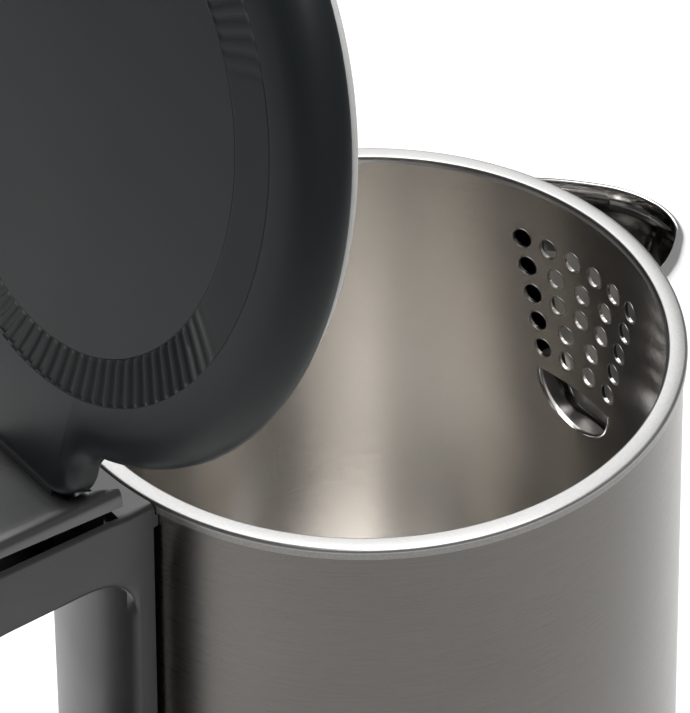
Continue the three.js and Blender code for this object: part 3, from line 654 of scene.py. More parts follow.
def strainer_trough():
    """Trough below the slot, from the outside of the pot to the inside of the shell."""
    inner = resampled(
        rounded(TROUGH_OUTLINE, 6),
        lambda whole: np.linspace(0, whole, int(whole / TROUGH_STEP) + 1),
    )
    ahead = np.gradient(inner, axis=0)
    ahead /= np.linalg.norm(ahead, axis=1)[:, None]
    outer = inner + TROUGH_WALL * np.stack([ahead[:, 1], -ahead[:, 0]], 1)
    rings = []
    for near, far in zip(inner, outer):
        ring = []
        for (y, z), at_pot in ((near, True), (near, False), (far, False), (far, True)):
            radius = POT_R + POT_WALL + 0.05 if at_pot else shell_radius(z) - SHELL_WALL - 0.05
            ring.append((math.sqrt(radius ** 2 - y * y), y, z))
        rings.append(ring)
    trough = build("strainer_trough", loft(rings), below_rim, 40)
    # The trough's steel is darkened as painted shade.
    finish_piece(trough, "kettle", "pot_steel", TROUGH_PAINTED_SHADE_STEEL)


def outer_shell():
    top = -RIM_EDGE - GAP
    profile = [
        (shell_radius(SHELL_BOTTOM) - SHELL_WALL, SHELL_BOTTOM),
        (shell_radius(SHELL_BOTTOM), SHELL_BOTTOM),
        (shell_radius(-120), -120),
        (shell_radius(-60), -60),
        (shell_radius(top), top),
        (shell_radius(top) - SHELL_WALL, top),
    ]
    shell = build("shell_skin", lathe(profile, 256, True), below_rim)
    mouth = prism(rounded([(-19, -7, 4), (19, -7, 4), (8, -64, 7), (-8, -64, 7)]), 55, 95, "x")
    rear = prism([(-7.5, -168), (7.5, -168), (7.5, -200), (-7.5, -200)], -90, -60, "x")
    carve(shell, mouth, rear)
    cone_normals(shell, shell_radius, True, 0, TAPER)
    finish_piece(shell, "kettle", "brushed_steel", SHELL_STEEL, "outer_shell")


# ---- spout
LIP_STEPS = 72
LIP_DEPTH = 4.6
THROAT_END = -24.0
# Section of the spout's wall: level from lip to foot, inset from the outline, height above the lip plane.
LIP_SECTION = (
    (0.0, 0.85, -4.8), (0.0, 0.3, -4.0), (0.0, 0.0, -3.0), (0.0, 0.12, -2.1), (0.0, 0.5, -1.3),
    (0.0, 1.15, -0.62), (0.0, 1.9, -0.16), (0.0, 2.45, 0.0), (0.0, 2.85, -0.14), (0.0, 3.08, -0.5),
    (0.0, 3.05, -1.2), (0.0, 2.6, -2.6), (0.0, 2.1, -4.4),
)


def lip_outline(inset):
    radius = LIP_TIP_R - inset
    centre = LIP_TIP - LIP_TIP_R
    turn = math.pi / 2 - LIP_SIDE
    start = (centre + radius * math.cos(turn), radius * math.sin(turn))
    side = [
        (start[0] - d * math.cos(LIP_SIDE), start[1] + d * math.sin(LIP_SIDE) - 0.008 * d * d)
        for d in np.linspace(27, 0.6, 20)
    ]
    tip = [(centre + radius * math.cos(a), radius * math.sin(a)) for a in np.linspace(turn, -turn, 28)]
    path = side + tip + [(x, -y) for x, y in reversed(side)]
    return resampled(path, lambda whole: np.linspace(0, whole, LIP_STEPS + 1))


def spout_row(level, inset, lift=0.0):
    """One line round the spout: level 0 is the lip, and level 1 the foot on the wall."""
    draw = (1 - level) ** 0.9
    narrow = 1 - 0.72 * level ** 1.1
    row = []
    for x, y in lip_outline(inset):
        reach = max(math.hypot(x, y) - SHELL_R, -3.0)
        lip_z = LIP_ROOT_Z - LIP_FALL * (x - RIM_R)
        z = lip_z + (SPOUT_BOTTOM - lip_z) * level
        radius = shell_radius(z) - inset * (1 - draw) + min(reach, reach * draw)
        angle = math.atan2(y, x) * narrow
        row.append((radius * math.cos(angle), radius * math.sin(angle), z + lift))
    return row


def spout():
    outer_levels = (0.97, 0.9, 0.8, 0.7, 0.6, 0.5, 0.4, 0.3, 0.22, 0.15, 0.1)
    rows = [spout_row(level, 0.85) for level in outer_levels]
    rows += [spout_row(*section) for section in LIP_SECTION]
    rows += [spout_row(level, 1.95) for level in reversed(outer_levels)]
    stations = [list(section) for section in zip(*rows)]
    piece = build("spout_wall", loft(stations), below_rim, 50)
    body = [
        (0, -100), (shell_radius(-100) + 0.02, -100), (shell_radius(-RIM_EDGE) + 0.02, -2.6),
        (RIM_R + 0.3, -2.6), (RIM_R + 0.3, 20), (0, 20),
    ]
    carve(piece, lathe(body, FINE), smooth=50)
    finish_piece(piece, "kettle", "polished_steel", SPOUT_STEEL, "spout")
    piece.data.materials.append(SPOUT_PAINTED_LIGHT_STEEL)
    piece.data.materials.append(THROAT_PAINTED_SHADE_STEEL)
    piece.data.materials.append(EDGE_PAINTED_SHADE_STEEL)
    # Inside below the throat gets the painted-light steel, inside in the throat the painted-shade steel, and
    # the outside below the lip the painted-shade edge steel.
    for face in piece.data.polygons:
        x, y, z = np.array(face.center) / MM - (0.0, 0.0, RIM_Z)
        if z > LIP_ROOT_Z - LIP_FALL * (x - RIM_R) - LIP_DEPTH:
            continue
        if face.normal[0] * x + face.normal[1] * y > 0:
            face.material_index = 3
        else:
            face.material_index = 1 if z < THROAT_END else 2


# ---- handle
def top_line(x):
    return HANDLE_TOP + TOP_RISE * (COVER_START - x)


def spine_face(z):
    return 73.4 - 0.058 * (z + 16)


def handle_outline(inset, front=-58.0, steps=14):
    """Outer side outline from the top front corner round the grip to the bottom front corner."""
    back = HANDLE_BACK + inset
    return rounded([
        (front, top_line(front) - inset, 0),
        (back, top_line(back) - inset, 27 - inset),
        (back + 5, -138 + inset, 24 - inset),
        (front, -143, 0),
    ], steps)


def finger_opening(grow, steps=12):
    return rounded([
        (-117 - grow, -13.6 + grow, 12 + grow),
        (-73.4 + grow, -15.9 + grow, 13 + grow),
        (-79.2 + grow, -116 - grow, 13 + grow),
        (-113.5 - grow, -113 - grow, 12 + grow),
    ], steps)


def loop_outline():
    """Side outline of the handle body: arm, grip and foot, open towards the pot between the two fillets."""
    inset = COVER_T + GROOVE
    outer = [(-58, ROOT_TOP), (-74.5, ROOT_TOP + 0.3)]
    outer += [(x, z) for x, z in handle_outline(inset, -79) if z > -125]
    outer += [(x, z) for x, z in handle_outline(0) if z < -125]
    hole = finger_opening(0)
    quarter = len(hole) // 4
    upper = hole[quarter:2 * quarter]
    lower = hole[2 * quarter:3 * quarter]
    grip = hole[3 * quarter:] + hole[:quarter]
    wall_top = (upper[-1][0] + 0.9, -44)
    wall_low = (lower[0][0] - 0.4, -96)
    inner = [(-58, -96), wall_low, *lower, *grip, *upper, wall_top, (-58, -44)]
    return outer + inner


def spine():
    rings = []
    for z in np.linspace(SPINE_BOTTOM, -17, 32):
        share = min(max((SWELL_TOP - z) / SWELL_RUN, 0.0), 1.0)
        height = SPINE_CROWN + (LENS_CROWN - SPINE_CROWN) * share * share * (3 - 2 * share)
        row = [(-60, -HANDLE_HALF, z)]
        for side in np.linspace(-1, 1, 25):
            edge = 1 - abs(side)
            trim = SPINE_TRIM * max(0.0, 1 - edge / 0.06) ** 2
            crown = height * (1 - abs(side) ** SPINE_POWER)
            row.append((trim - spine_face(z) - crown, side * HANDLE_HALF, z))
        row.append((-60, HANDLE_HALF, z))
        rings.append(row)
    return loft(rings)


def body_cutter():
    low = SPINE_BOTTOM - 20
    profile = [
        (0, low), (shell_radius(low) + GAP, low), (shell_radius(-RIM_EDGE) + GAP, -RIM_EDGE - GAP),
        (RIM_R + GAP, -RIM_EDGE - GAP), (RIM_R + GAP, 20), (0, 20),
    ]
    return cutter(lathe(profile, FINE))


def shadow_gap():
    """Cutter for the groove that runs down each side of the spine where it meets the shell."""
    low, high = SPINE_BOTTOM - 5, -6.0
    wall = [(0, low)]
    wall += [(shell_radius(z) + SHADOW_GAP, z) for z in (low, high)]
    wall.append((0, high))
    gap = cutter(lathe(wall, FINE))
    return carve(gap, block(-90, 90, -SHADOW_CORE, SHADOW_CORE, low - 5, high + 5))


def hinge_ear(side):
    y = EAR_Y * side
    top = arc(HINGE_X, HINGE_Z, EAR_R, 0, 180, 24)
    bar = [*top, (HINGE_X - EAR_R, -8), (HINGE_X + EAR_R, -8)]
    return prism(bar, y - 1.3, y + 1.3, "y")


def handle_body():
    body = build("handle_frame", prism(loop_outline(), -HANDLE_HALF, HANDLE_HALF, "y"), below_rim)
    soften(body, 1.5, 4, 50)
    fuse(body, spine())
    ring = [
        (-92, 20), (-160, 20), (-160, -122), (-124, -122),
        (-120, -100), (-120.5, -24), (-114, -11.4), (-92, -12.4),
    ]
    cuts = [
        prism(ring, -CHANNEL_HALF, CHANNEL_HALF, "y"),
        block(-92.01, -77.3, -10.5, 10.5, -12, 20),
        prism([(-76.4, -2.2), (-76.4, 20), (-126, 20), (-126, 0.6)], -CHEEK_HALF, CHEEK_HALF, "y"),
        block(-95, -70, -5.4, 5.4, -193, -181),
        rod(2.6, -95, -84, "x", (0, -166)),
        rod(1.7, SPINE_BOTTOM - 2, SPINE_BOTTOM + 11, "z", (-83.5, 10.5)),
        rod(1.7, SPINE_BOTTOM - 2, SPINE_BOTTOM + 11, "z", (-83.5, -10.5)),
    ]
    tube = []
    for z in (SPINE_BOTTOM + 4, -10):
        back = -(spine_face(z) + TUBE_ROOM)
        tube.append([(-60, -5, z), (back, -5, z), (back, 5, z), (-60, 5, z)])
    carve(body, *cuts, loft(tube))
    fuse(body, hinge_ear(1), hinge_ear(-1))
    carve(body, rod(PIN_R + GAP, -14, 14, "y", (HINGE_X, HINGE_Z)), body_cutter(), shadow_gap())
    finish_piece(body, "kettle", "handle_plastic", HANDLE_PLASTIC, "handle_body")


def cover_section():
    """Slightly dished section of the covers: y across the handle, and depth below the top line."""
    half, edge, crown = HANDLE_HALF, 2.6, -0.3
    side = [(half, COVER_T), (half, edge + crown)]
    for a in np.radians((15, 30, 45, 60, 75, 90)):
        side.append((half - edge + edge * math.cos(a), edge + crown - edge * math.sin(a)))
    top = [(y, crown * (y / (half - edge)) ** 2) for y in np.linspace(half - edge, 0, 9)[1:]]
    right = side + top
    return right + [(-y, d) for y, d in reversed(right[:-1])]


def cover(name, section, low_x, high_x, low_z):
    """Strip of the outer contour between two stations, as a loft of one section."""
    line = resampled(handle_outline(0, -58, 24)[:-1], lambda whole: np.arange(0, whole, COVER_STEP))
    direction = np.gradient(line, axis=0)
    direction /= np.linalg.norm(direction, axis=1)[:, None]
    inward = np.stack([-direction[:, 1], direction[:, 0]], 1)
    x, z = line[:, 0], line[:, 1]
    keep = (x <= high_x + 1.5) & (x >= low_x - 1.5) & (z >= low_z - 1.5) & (z > -128)
    rings = []
    for (x, z), (nx, nz) in zip(line[keep], inward[keep]):
        rings.append([(x + nx * d, y, z + nz * d) for y, d in section])
    return build(name, loft(rings), below_rim, 40)


def tongue_end(y):
    """Place of the end of the closed lid's tongue at this distance from its middle."""
    past = abs(y) - (TONGUE_HALF - TONGUE_CORNER)
    if past <= 0:
        return TONGUE_END
    return TONGUE_END + TONGUE_CORNER - math.sqrt(max(TONGUE_CORNER ** 2 - past ** 2, 0.0))


def tongue_sweep():
    """Everything in front of the hinge that the tongue passes through as the lid opens."""
    bend = np.linspace(TONGUE_HALF - TONGUE_CORNER, TONGUE_HALF, 15)
    rings = []
    for y in (-20, *-bend[::-1], *bend, 20):
        reach = tongue_end(y) - HINGE_X - TONGUE_ROOM
        line = arc(HINGE_X, HINGE_Z, reach, 90, -40, 20)
        rings.append([(x, y, z) for x, z in [*line, (-50, -20), (-50, 30), (HINGE_X, 30)]])
    return loft(rings)


# Side outline of what is taken off under the top cover, so that its side bands taper.
COVER_UNDERSIDE = ((-124, 8.7), (-124, -5), (-70, -5), (-70, 3.2))


def covers():
    top = cover("top_cover", cover_section(), COVER_END, COVER_FRONT, -50)
    web = prism([(-92.5, 4.9), (-92.5, 2.0), (-122, 4.2), (-122, 7.2)], -13.3, 13.3, "y")
    fuse(top, web, smooth=40)
    hole = rounded([
        (BUTTON_X[0] - GAP, -BUTTON_HALF - GAP, 4), (BUTTON_X[1] + GAP, -BUTTON_HALF - GAP, 4),
        (BUTTON_X[1] + GAP, BUTTON_HALF + GAP, 4), (BUTTON_X[0] - GAP, BUTTON_HALF + GAP, 4),
    ])
    carve(
        top,
        block(COVER_FRONT, -40, -20, 20, -20, 30),
        block(-180, COVER_END, -20, 20, -20, 30),
        block(POCKET_END, -70, -13.3, 13.3, -5, 30),
        rod(KNUCKLE_R + 0.4, -13.3, 13.3, "y", (HINGE_X, HINGE_Z), 64),
        prism(COVER_UNDERSIDE, -20, 20, "y"),
        tongue_sweep(),
        prism(hole, -10, 30, "z"),
        smooth=40,
    )
    finish_piece(top, "kettle", "dark_plastic", COVER_PLASTIC, "handle_top_cover")
    grip = cover("grip_skin", cover_section(), -200, COVER_END, -125)
    near, far = CORE_DEPTHS
    section = [(CORE_HALF, near), (-CORE_HALF, near), (-CORE_HALF, far), (CORE_HALF, far)]
    core = cover("cutter", section, -200, CORE_FRONT, CORE_FOOT)
    in_front = block(CORE_FRONT, -40, -20, 20, -200, 40)
    carve(core, in_front, block(-180, -40, -20, 20, -200, CORE_FOOT))
    fuse(grip, core, smooth=40)
    carve(
        grip,
        block(COVER_END - GAP, -40, -20, 20, -121.5, 40),
        block(-180, -40, -20, 20, -160, -125 + GAP),
        smooth=40,
    )
    finish_piece(grip, "kettle", "dark_plastic", COVER_PLASTIC, "grip_cover")


def button():
    top = top_line(BUTTON_X[0]) + 0.9
    outline = rounded([
        (BUTTON_X[0], -BUTTON_HALF, 4), (BUTTON_X[1], -BUTTON_HALF, 4),
        (BUTTON_X[1], BUTTON_HALF, 4), (BUTTON_X[0], BUTTON_HALF, 4),
    ], 10)
    centre = np.array((sum(BUTTON_X) / 2, 0.0))
    rings = []
    levels = (
        (1.0, -1), (1.0, top - 1.0), (0.985, top - 0.5), (0.95, top - 0.15),
        (0.88, top), (0.6, top - 0.35), (0.2, top - 0.5),
    )
    for scale, z in levels:
        rings.append([(*(centre + (np.array(p) - centre) * scale), z) for p in outline])
    cap = build("button_cap", loft(rings), below_rim, 40)
    fuse(cap, rod(3, -3.1, -0.7, "z", tuple(centre)), smooth=40)
    finish_piece(cap, "release_button", "dark_plastic", LID_PLASTIC, "release_button")


def switch():
    x, z = SWITCH_X, SWITCH_Z
    arm = [(-66, z - 1.6), (-66, z + 1.4), (x, z + 2.2), (-92, z + 3.8), (-92, z + 0.6), (x, z - 2.4)]
    paddle = [(-91.5, z + 0.2, 1), (-91.5, z + 4.2, 1), (-101, z + 5.4, 1.2), (-101, z + 2.4, 1.2)]
    lever = build("switch_lever", prism(rounded(paddle, 5), -9, 9, "y"), below_rim)
    soften(lever, 0.8, 3, 50)
    fuse(lever, prism(arm, -4.5, 4.5, "y"))
    carve(lever, rod(1.5, -10, 10, "y", (x, z)))
    finish_piece(lever, "power_switch", "dark_plastic", LID_PLASTIC, "power_switch")


# ---- lid
def lid_edge():
    """Plan outline of the lid with its tongue: x, y and how far each point belongs to the tongue."""
    half, corner, fillet = TONGUE_HALF, TONGUE_CORNER, 5.0
    fillet_y = half + fillet
    fillet_x = -math.sqrt((LID_R + fillet) ** 2 - fillet_y ** 2)
    meet = math.atan2(fillet_y, fillet_x)
    disc = [(LID_R * math.cos(a), LID_R * math.sin(a), 0.0) for a in np.linspace(-meet, meet, 150)]
    start = math.degrees(meet) - 180
    turn = arc(fillet_x, fillet_y, fillet, start, -90, 8)[1:]
    blend = [(x, y, (i + 1) / 8) for i, (x, y) in enumerate(turn)]
    end_x = TONGUE_END + corner
    side = [(x, half, 1.0) for x in np.linspace(fillet_x, end_x, 4)[1:]]
    bend = [(x, y, 1.0) for x, y in arc(end_x, half - corner, corner, 90, 180, 10)[1:]]
    end = [(TONGUE_END, y, 1.0) for y in np.linspace(half - corner, 0, 5)[1:]]
    upper = blend + side + bend + end
    lower = [(x, -y, w) for x, y, w in reversed(upper[:-1])]
    return disc + upper + lower


def lid_cover():
    edge = np.array(lid_edge())
    plan = edge[:, :2]
    ahead = np.roll(plan, -1, 0) - np.roll(plan, 1, 0)
    ahead /= np.linalg.norm(ahead, axis=1)[:, None]
    inward = np.stack([-ahead[:, 1], ahead[:, 0]], 1)
    angle = np.arctan2(plan[:, 1], plan[:, 0])
    weight = edge[:, 2][:, None]
    seat = RING_OUT + SEAM

    def circle(radius, z):
        return np.stack([radius * np.cos(angle), radius * np.sin(angle), np.full(len(angle), float(z))], 1)

    def offset(disc_in, disc_z, tongue_in, tongue_z):
        inset = disc_in * (1 - weight) + tongue_in * weight
        z = disc_z * (1 - weight[:, 0]) + tongue_z * weight[:, 0]
        return np.concatenate([plan + inward * inset, z[:, None]], 1)

    rings = [circle(seat, 5), circle(seat, LID_H - 0.06), circle(seat + 0.08, LID_H)]
    flank = (
        (8.0, 7.72, 4.2, 7.8), (5.6, 7.28, 3.0, 7.72), (4.0, 6.75, 2.2, 7.5), (2.6, 6.0, 1.4, 7.1),
        (1.5, 5.05, 0.75, 6.5), (0.75, 4.0, 0.3, 5.8), (0.28, 2.9, 0.06, 5.0),
        (0.05, 1.9, 0.0, 4.0), (0.0, 0.5, 0.0, 0.9), (0.25, 0.0, 0.5, 0.3),
    )
    rings += [offset(*row) for row in flank]
    rings += [circle(66.1, 0), circle(65.9, 0.3), circle(65.9, 3)]
    points, rows = numbered(rings)
    faces = strip_faces(rows, True) + [tuple(rows[0]), tuple(rows[-1])]
    top = build("lid_shell", (points, faces), on_lid)
    z = HINGE_Z - LID_GAP
    web = [
        (-64, 4.5), (-70, 2.6), (-78, 0.4), (HINGE_X, 0.3),
        (HINGE_X, z + 6), (-80, 6), (-75, 7.0), (-64, 7.2),
    ]
    knuckles = cutter(prism(web, -10.2, 10.2, "y"), on_lid)
    fuse(knuckles, cutter(rod(KNUCKLE_R, -10.2, 10.2, "y", (HINGE_X, z), 64), on_lid))
    spring_room = rod(SPRING_ROOM, -4.2, 4.2, "y", (HINGE_X, z))
    way_out = block(HINGE_X - 2.5, HINGE_X + 2.5, -4.2, 4.2, -10, z)
    carve(knuckles, cutter(spring_room, on_lid), cutter(way_out, on_lid))
    under = prism([(-75.4, -2), (-75.4, 0.28), (-78.2, 3.0), (-82, 3.0), (-82, -2)], -20, 20, "y")
    carve(top, cutter(under, on_lid))
    fuse(top, knuckles)
    carve(top, cutter(rod(PIN_R + GAP, -14, 14, "y", (HINGE_X, z)), on_lid))
    finish_piece(top, "lid", "dark_plastic", LID_PLASTIC, "lid_cover")


RIBS = 100
RIB_SLANT = math.radians(-3.6)
HINGE_ARC = math.radians(67)
SPOUT_ARC = math.radians(60)
# Depth of the ring's face below the lid across one rib and groove, by share of the pitch.
RIB_SECTION = ((0.0, 0.1), (0.36, 0.1), (0.46, 0.28), (0.56, 0.5), (0.84, 0.5), (0.94, 0.28))
RIB_FADE = math.radians(16)
SPOUT_ARC_DEPTH = 0.3
EDGE_DROP = 0.04


def rib_columns():
    """Angle of each line across the ring, and the depth of its face there."""
    step = 2 * math.pi / RIBS
    columns = []
    for k in range(RIBS):
        centre = (k + 0.5) * step
        off_hinge = abs(math.remainder(centre - math.pi, 2 * math.pi))
        off_spout = abs(math.remainder(centre, 2 * math.pi))
        hinge_scale = min(max((HINGE_ARC - off_hinge) / RIB_FADE, 0.0), 1.0)
        spout_scale = min(max((SPOUT_ARC - off_spout) / RIB_FADE, 0.0), 1.0) * SPOUT_ARC_DEPTH
        scale = max(hinge_scale, spout_scale)
        columns += [((k + share) * step, depth * scale) for share, depth in RIB_SECTION]
    return columns


def grille_ring():
    """Ring with slanted ribs in an arc at the hinge and one at the spout, plain between them."""
    inner, outer = RING_IN + SEAM, RING_OUT
    low, flush = 5 + GAP, LID_H - 0.02
    middle = np.linspace(inner + 1, outer - 1, 6)
    radii = (inner, inner + 0.06, inner + 0.25, *middle, outer - 0.25, outer - 0.06, outer)
    rims = (0, len(radii) - 1)
    rings = []
    for angle, depth in rib_columns():
        line = []
        for i, r in enumerate(radii):
            lean = angle + RIB_SLANT * (r - (inner + outer) / 2) / (outer - inner)
            drop = depth
            if i in rims:
                drop = EDGE_DROP
            elif i - 1 in rims or i + 1 in rims:
                drop = min(depth, EDGE_DROP)
            line.append((r * math.cos(lean), r * math.sin(lean), flush - drop))
        line.append((line[-1][0], line[-1][1], low))
        line.append((line[0][0], line[0][1], low))
        rings.append(line)
    points, rows = numbered(rings)
    rows.append(rows[0])
    ring = build("lid_ring", (points, strip_faces(rows, True)), on_lid, 40)
    finish_piece(ring, "lid", "dark_plastic", RING_PLASTIC, "lid_grille_ring")


def lid_disc():
    low, edge = 5 + GAP, 0.12
    profile = [(0, low), (RING_IN, low), (RING_IN, LID_H - edge), (RING_IN - edge, LID_H), (0, LID_H)]
    turned("lid_disc", profile, "lid_centre_disc", "lid", "dark_plastic", LID_PLASTIC, on_lid)


def lid_liner():
    profile = [
        (0, -7), (20, -7), (20.6, -6.4), (22, -6.4), (22.6, -7), (58.4, -7), (59.4, -6.8), (61, -5.6),
        (61.5, -5), (61.5, 0.9), (65.3, 0.9), (65.3, 2.7), (60, 2.7), (60, -4.6), (58.6, -5.5), (0, -5.5),
    ]
    liner = build("lid_liner_dish", lathe(profile, FINE), on_lid)
    cuts = [rod(1.8, -9, -3, "z", (-40, y), 24) for y in (-8, 0, 8)]
    cuts += [rod(1.7, -9, -3, "z", place, 24) for place in around(50, 3)]
    carve(liner, *[cutter(solid, on_lid) for solid in cuts])
    finish_piece(liner, "lid", "handle_plastic", LINER_PLASTIC, "lid_liner")
    seal = [
        (61.8, -4.2), (62.7, -4.4), (63.6, -4.4), (64.5, -3.9), (65, -3.2),
        (65, -2.4), (64.4, -1.7), (63.4, -1.2), (61.8, -1),
    ]
    lip = build("lid_gasket", lathe(seal, FINE, True), on_lid, 50)
    finish_piece(lip, "lid", "silicone", SILICONE, "lid_seal")


# ---- underside and base
def turned(name, profile, node, body, slot, material, place=below_rim, loop=False, segments=FINE):
    piece = build(name, lathe(profile, segments, loop), place)
    return finish_piece(piece, body, slot, material, node)


def underside():
    z = KETTLE_FOOT
    top = SHELL_BOTTOM - GAP
    r = shell_radius(top)
    band = build("foot_band", lathe([
        (75.6, z), (76.6, z), *arc(76.9, z + 1.6, 1.6, -90, -8, 4), (r, z + 3.4),
        (r, top - 0.2), (r - 0.2, top), (r - 2, top), (r - 2, z + 3.4), (75.6, z + 2),
    ], FINE, True), below_rim)
    carve(band, block(-90, -70, -6.5, 6.5, -194, -180))
    finish_piece(band, "kettle", "dark_plastic", LID_PLASTIC, "base_ring")
    z = KETTLE_FOOT + 2.4
    plate = build("foot_plate", lathe([
        (23.6, z), (30, z), (30.6, z + 0.4), (33, z + 0.4), (33.6, z), (73.4, z), (74.2, z + 0.15),
        (75.8, z + 1.8), (75.8, z + 3.4), (73.6, z + 2.4), (23.6, z + 2.4),
    ], FINE, True), below_rim)
    holes = [rod(1.7, z - 4, z + 4, "z", place, 24) for place in around(60, 3, math.pi / 3)]
    carve(plate, *holes)
    finish_piece(plate, "kettle", "black_plastic", BLACK_PLASTIC, "bottom_cover")
    roof = POST_TOP + 1 - RIM_Z
    foot = KETTLE_FOOT
    cup = build("socket_cup", lathe([
        (0, roof), (19.3, roof), (19.3, foot + 1.6), (19.9, foot + 1), (22, foot + 1),
        (23.2, foot + 2), (23.2, roof + 2.2), (0, roof + 2.2),
    ], COARSE), below_rim)
    slot_ring = [(11, roof - 1), (12.6, roof - 1), (12.6, roof + 1.4), (11, roof + 1.4)]
    carve(cup, lathe(slot_ring, COARSE, True))
    finish_piece(cup, "kettle", "black_plastic", BLACK_PLASTIC, "kettle_socket")
    ring = [(11.3, roof - 7), (12.3, roof - 7), (12.3, roof + 1.1), (11.3, roof + 1.1)]
    turned("socket_ring", ring, "socket_contact_ring", "kettle", "brass", BRASS, below_rim, True, COARSE)
    probe = [
        (0, 0.9), (5.5, 0.9), (5.5, 1.4), (5.2, 1.6), (3.4, 1.9),
        (3, 7.3), (2.6, 8.2), (1.6, 8.7), (0, 8.9),
    ]
    dome = build("probe_dome", moved(lathe(probe, 48), (30, 0, -POT_DEPTH)), below_rim)
    finish_piece(dome, "kettle", "polished_steel", SPOUT_STEEL, "ntc_probe")


def power_base():
    r = BASE_R
    skin = build("base_skin", lathe([
        (POST_R + 1.4, BASE_TOP), (40, BASE_TOP), (40.5, BASE_TOP - 0.35), (41.5, BASE_TOP - 0.35),
        (42, BASE_TOP), (76.4, BASE_TOP), *arc(r - 3.6, BASE_TOP - 3.6, 3.6, 80, 0, 9),
        (r, 2.9), (r - 0.5, 2.4), (r - BASE_WALL, 2.4), (r - BASE_WALL, BASE_TOP - 5),
        (r - BASE_WALL - 2.4, BASE_TOP - BASE_WALL), (POST_R + 1.4, BASE_TOP - BASE_WALL),
    ], FINE, True))
    carve(skin, cutter(rod(4.4, -r - 10, -r + 10, "x", (0, 9.5)), in_row))
    finish_piece(skin, "power_base", "dark_plastic", BASE_PLASTIC, "base_top_shell")
    step = BASE_TOP - BASE_WALL - GAP
    post = [
        (0, 12), (22, 12), (22, step), (POST_R, step), (POST_R, POST_TOP - 1),
        (POST_R - 0.3, POST_TOP - 0.3), (POST_R - 1, POST_TOP), (13.2, POST_TOP), (13.2, 26),
        (10.4, 26), (10.4, POST_TOP), (3, POST_TOP), (3, 24), (0, 24),
    ]
    turned("base_post", post, "connector_post", "power_base", "black_plastic", BLACK_PLASTIC, in_row)
    ring = [(10.8, 26.3), (12.8, 26.3), (12.8, 27.4), (10.8, 27.4)]
    node, body = "base_contact_ring", "power_base"
    turned("base_ring_contact", ring, node, body, "brass", BRASS, in_row, True, COARSE)
    collar = [
        (POST_R + GAP, BASE_TOP + GAP), (18.9, BASE_TOP + GAP), (18.9, 25.2),
        (18.7, 25.8), (18.2, 26.2), (POST_R + GAP, 26.2),
    ]
    node = body = "swivel_collar"
    turned("swivel_ring", collar, node, body, "black_plastic", BLACK_PLASTIC, in_row, True)
    plate = build("base_plate", lathe([
        (0, 1), (24, 1), (24.5, 1.4), (27, 1.4), (27.5, 1), (r - BASE_WALL - 1.3, 1),
        (r - BASE_WALL - GAP, 2), (r - BASE_WALL - GAP, 3.4), (0, 3.4),
    ], FINE))
    feet = around(64, 4, math.pi / 4)
    cuts = [rod(7.3, -0.6, 2.4, "z", place) for place in feet]
    for place in around(40, 3):
        cuts.append(rod(1.7, -2, 6, "z", place, 24))
        cuts.append(rod(3.3, 0, 2.5, "z", place, 24))
    carve(plate, *[cutter(solid, in_row) for solid in cuts])
    finish_piece(plate, "power_base", "black_plastic", BLACK_PLASTIC, "base_bottom_plate")
    pad = lathe([(0, 0), (5.8, 0), (6.4, 0.2), (6.9, 0.8), (7, 1.2), (7, 2.1), (0, 2.1)], 64)
    for i, place in enumerate(feet, 1):
        foot = build(f"foot_pad_{i}", moved(pad, (*place, 0)))
        finish_piece(foot, "power_base", "rubber", RUBBER, f"base_foot_{i}")
    collar = lathe([(2.8, 0), (5.0, 0), (5.4, 0.3), (5.4, 1.2), (4.1, 1.2), (4.1, 6), (2.8, 6)], 64, True)
    inlet = build("inlet_collar", moved(laid_on_x(collar), (-r - 1.6, 0, 9.5)))
    finish_piece(inlet, "power_base", "rubber", RUBBER, "cord_inlet")


# ---- CAD nodes that stay
KEPT = {
    "heater_plate": ALUMINIUM, "heating_element": WIRE_STEEL,
    "thermostat": BLACK_PLASTIC, "bimetal_disc": BRASS,
    "socket_pin": BRASS, "hinge_pin": DARK_WIRE, "lid_spring": DARK_WIRE, "steam_tube": RUBBER,
    "button_spring": WIRE_STEEL, "latch_bar": BLACK_PLASTIC, "switch_pivot": WIRE_STEEL,
    "switch_rod": WIRE_STEEL, "indicator_lens": LENS,
}


def repaint_kept_nodes():
    for name, node in NODES.items():
        material = KEPT.get(name)
        if material is None and "_screw_" in name:
            material = WIRE_STEEL
        if material is not None:
            node.data.materials.clear()
            node.data.materials.append(material)


# ---- camera, floor and light
VIEW_AZIMUTH = math.radians(-38.029)
VIEW_ELEVATION = math.radians(39.207)
VIEW_ROLL = math.radians(-0.917)
VIEW_FROM = (-280.69, -351.65, 359.67)
VIEW_LENS = 133.5


def make_camera():
    data = bpy.data.cameras.new("camera")
    data.sensor_width = 36.0
    data.lens = VIEW_LENS
    data.clip_end = 20.0
    camera = bpy.data.objects.new("camera", data)
    bpy.context.scene.collection.objects.link(camera)
    a, e, roll = VIEW_AZIMUTH, VIEW_ELEVATION, VIEW_ROLL
    back = np.array((math.sin(a) * math.cos(e), -math.cos(a) * math.cos(e), math.sin(e)))
    right = np.array((math.cos(a), math.sin(a), 0.0))
    up = np.cross(back, right)
    turned_right = right * math.cos(roll) + up * math.sin(roll)
    turned_up = -right * math.sin(roll) + up * math.cos(roll)
    place = below_rim([VIEW_FROM])[0]
    rows = [[turned_right[i], turned_up[i], back[i], place[i]] for i in range(3)]
    camera.matrix_world = Matrix(rows + [[0, 0, 0, 1]])
    bpy.context.scene.camera = camera


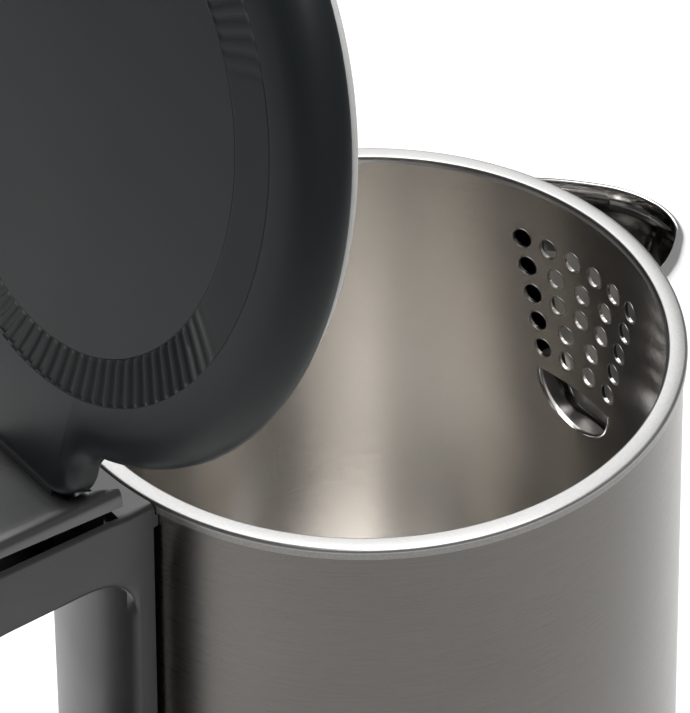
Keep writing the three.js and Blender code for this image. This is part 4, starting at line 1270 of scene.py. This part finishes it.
def area_light(name, size, power, place, target):
    data = bpy.data.lights.new(name, "AREA")
    data.shape = "RECTANGLE"
    data.size, data.size_y = size
    data.energy = power
    light = bpy.data.objects.new(name, data)
    light.location = place
    aim = np.array(target, float) - np.array(place, float)
    light.rotation_euler = Vector(aim).to_track_quat("-Z", "Y").to_euler()
    bpy.context.scene.collection.objects.link(light)


def make_floor():
    made = Finish("floor_paint", Roughness=0.9)
    made.tint(made.noise(6.0, 2.0), (0.80, 0.80, 0.80), (0.82, 0.82, 0.82))
    half = 4.0
    corners = [(-half, -half, 0), (half, -half, 0), (half, half, 0), (-half, half, 0)]
    mesh = bpy.data.meshes.new("floor")
    mesh.from_pydata(corners, [], [(0, 1, 2, 3)])
    floor = bpy.data.objects.new("floor", mesh)
    bpy.context.scene.collection.objects.link(floor)
    mesh.materials.append(made.material)


# Direction of the side of the room that is left dark.
DARK_SIDE = (-0.616, 0.788, 0.0)


def make_light():
    world = bpy.data.worlds.new("room")
    bpy.context.scene.world = world
    world.use_nodes = True
    background = world.node_tree.nodes["Background"]
    background.inputs["Color"].default_value = (0.75, 0.75, 0.76, 1)
    direction = world.node_tree.nodes.new("ShaderNodeTexCoord").outputs["Generated"]
    towards = world.node_tree.nodes.new("ShaderNodeVectorMath")
    towards.operation = "DOT_PRODUCT"
    towards.inputs[1].default_value = DARK_SIDE
    level = world.node_tree.nodes.new("ShaderNodeMapRange")
    for key, value in (("From Min", 0.2), ("From Max", 0.85), ("To Min", 0.5), ("To Max", 0.12)):
        level.inputs[key].default_value = value
    world.node_tree.links.new(direction, towards.inputs[0])
    world.node_tree.links.new(towards.outputs["Value"], level.inputs["Value"])
    world.node_tree.links.new(level.outputs["Result"], background.inputs["Strength"])
    area_light("overhead", (1.8, 1.8), 60.0, (0.0, 0.15, 2.0), (0, 0, 0.15))
    area_light("backdrop", (1.7, 1.4), 19.0, (0.50, 1.33, 1.4), (0, 0, 0.22))
    scene = bpy.context.scene
    scene.view_settings.view_transform = "Standard"
    scene.view_settings.look = "None"


make_camera()
make_floor()
make_light()
inner_pot()
slot_lip()
strainer_trough()
outer_shell()
spout()
handle_body()
covers()
button()
switch()
lid_cover()
grille_ring()
lid_disc()
lid_liner()
underside()
power_base()
repaint_kept_nodes()
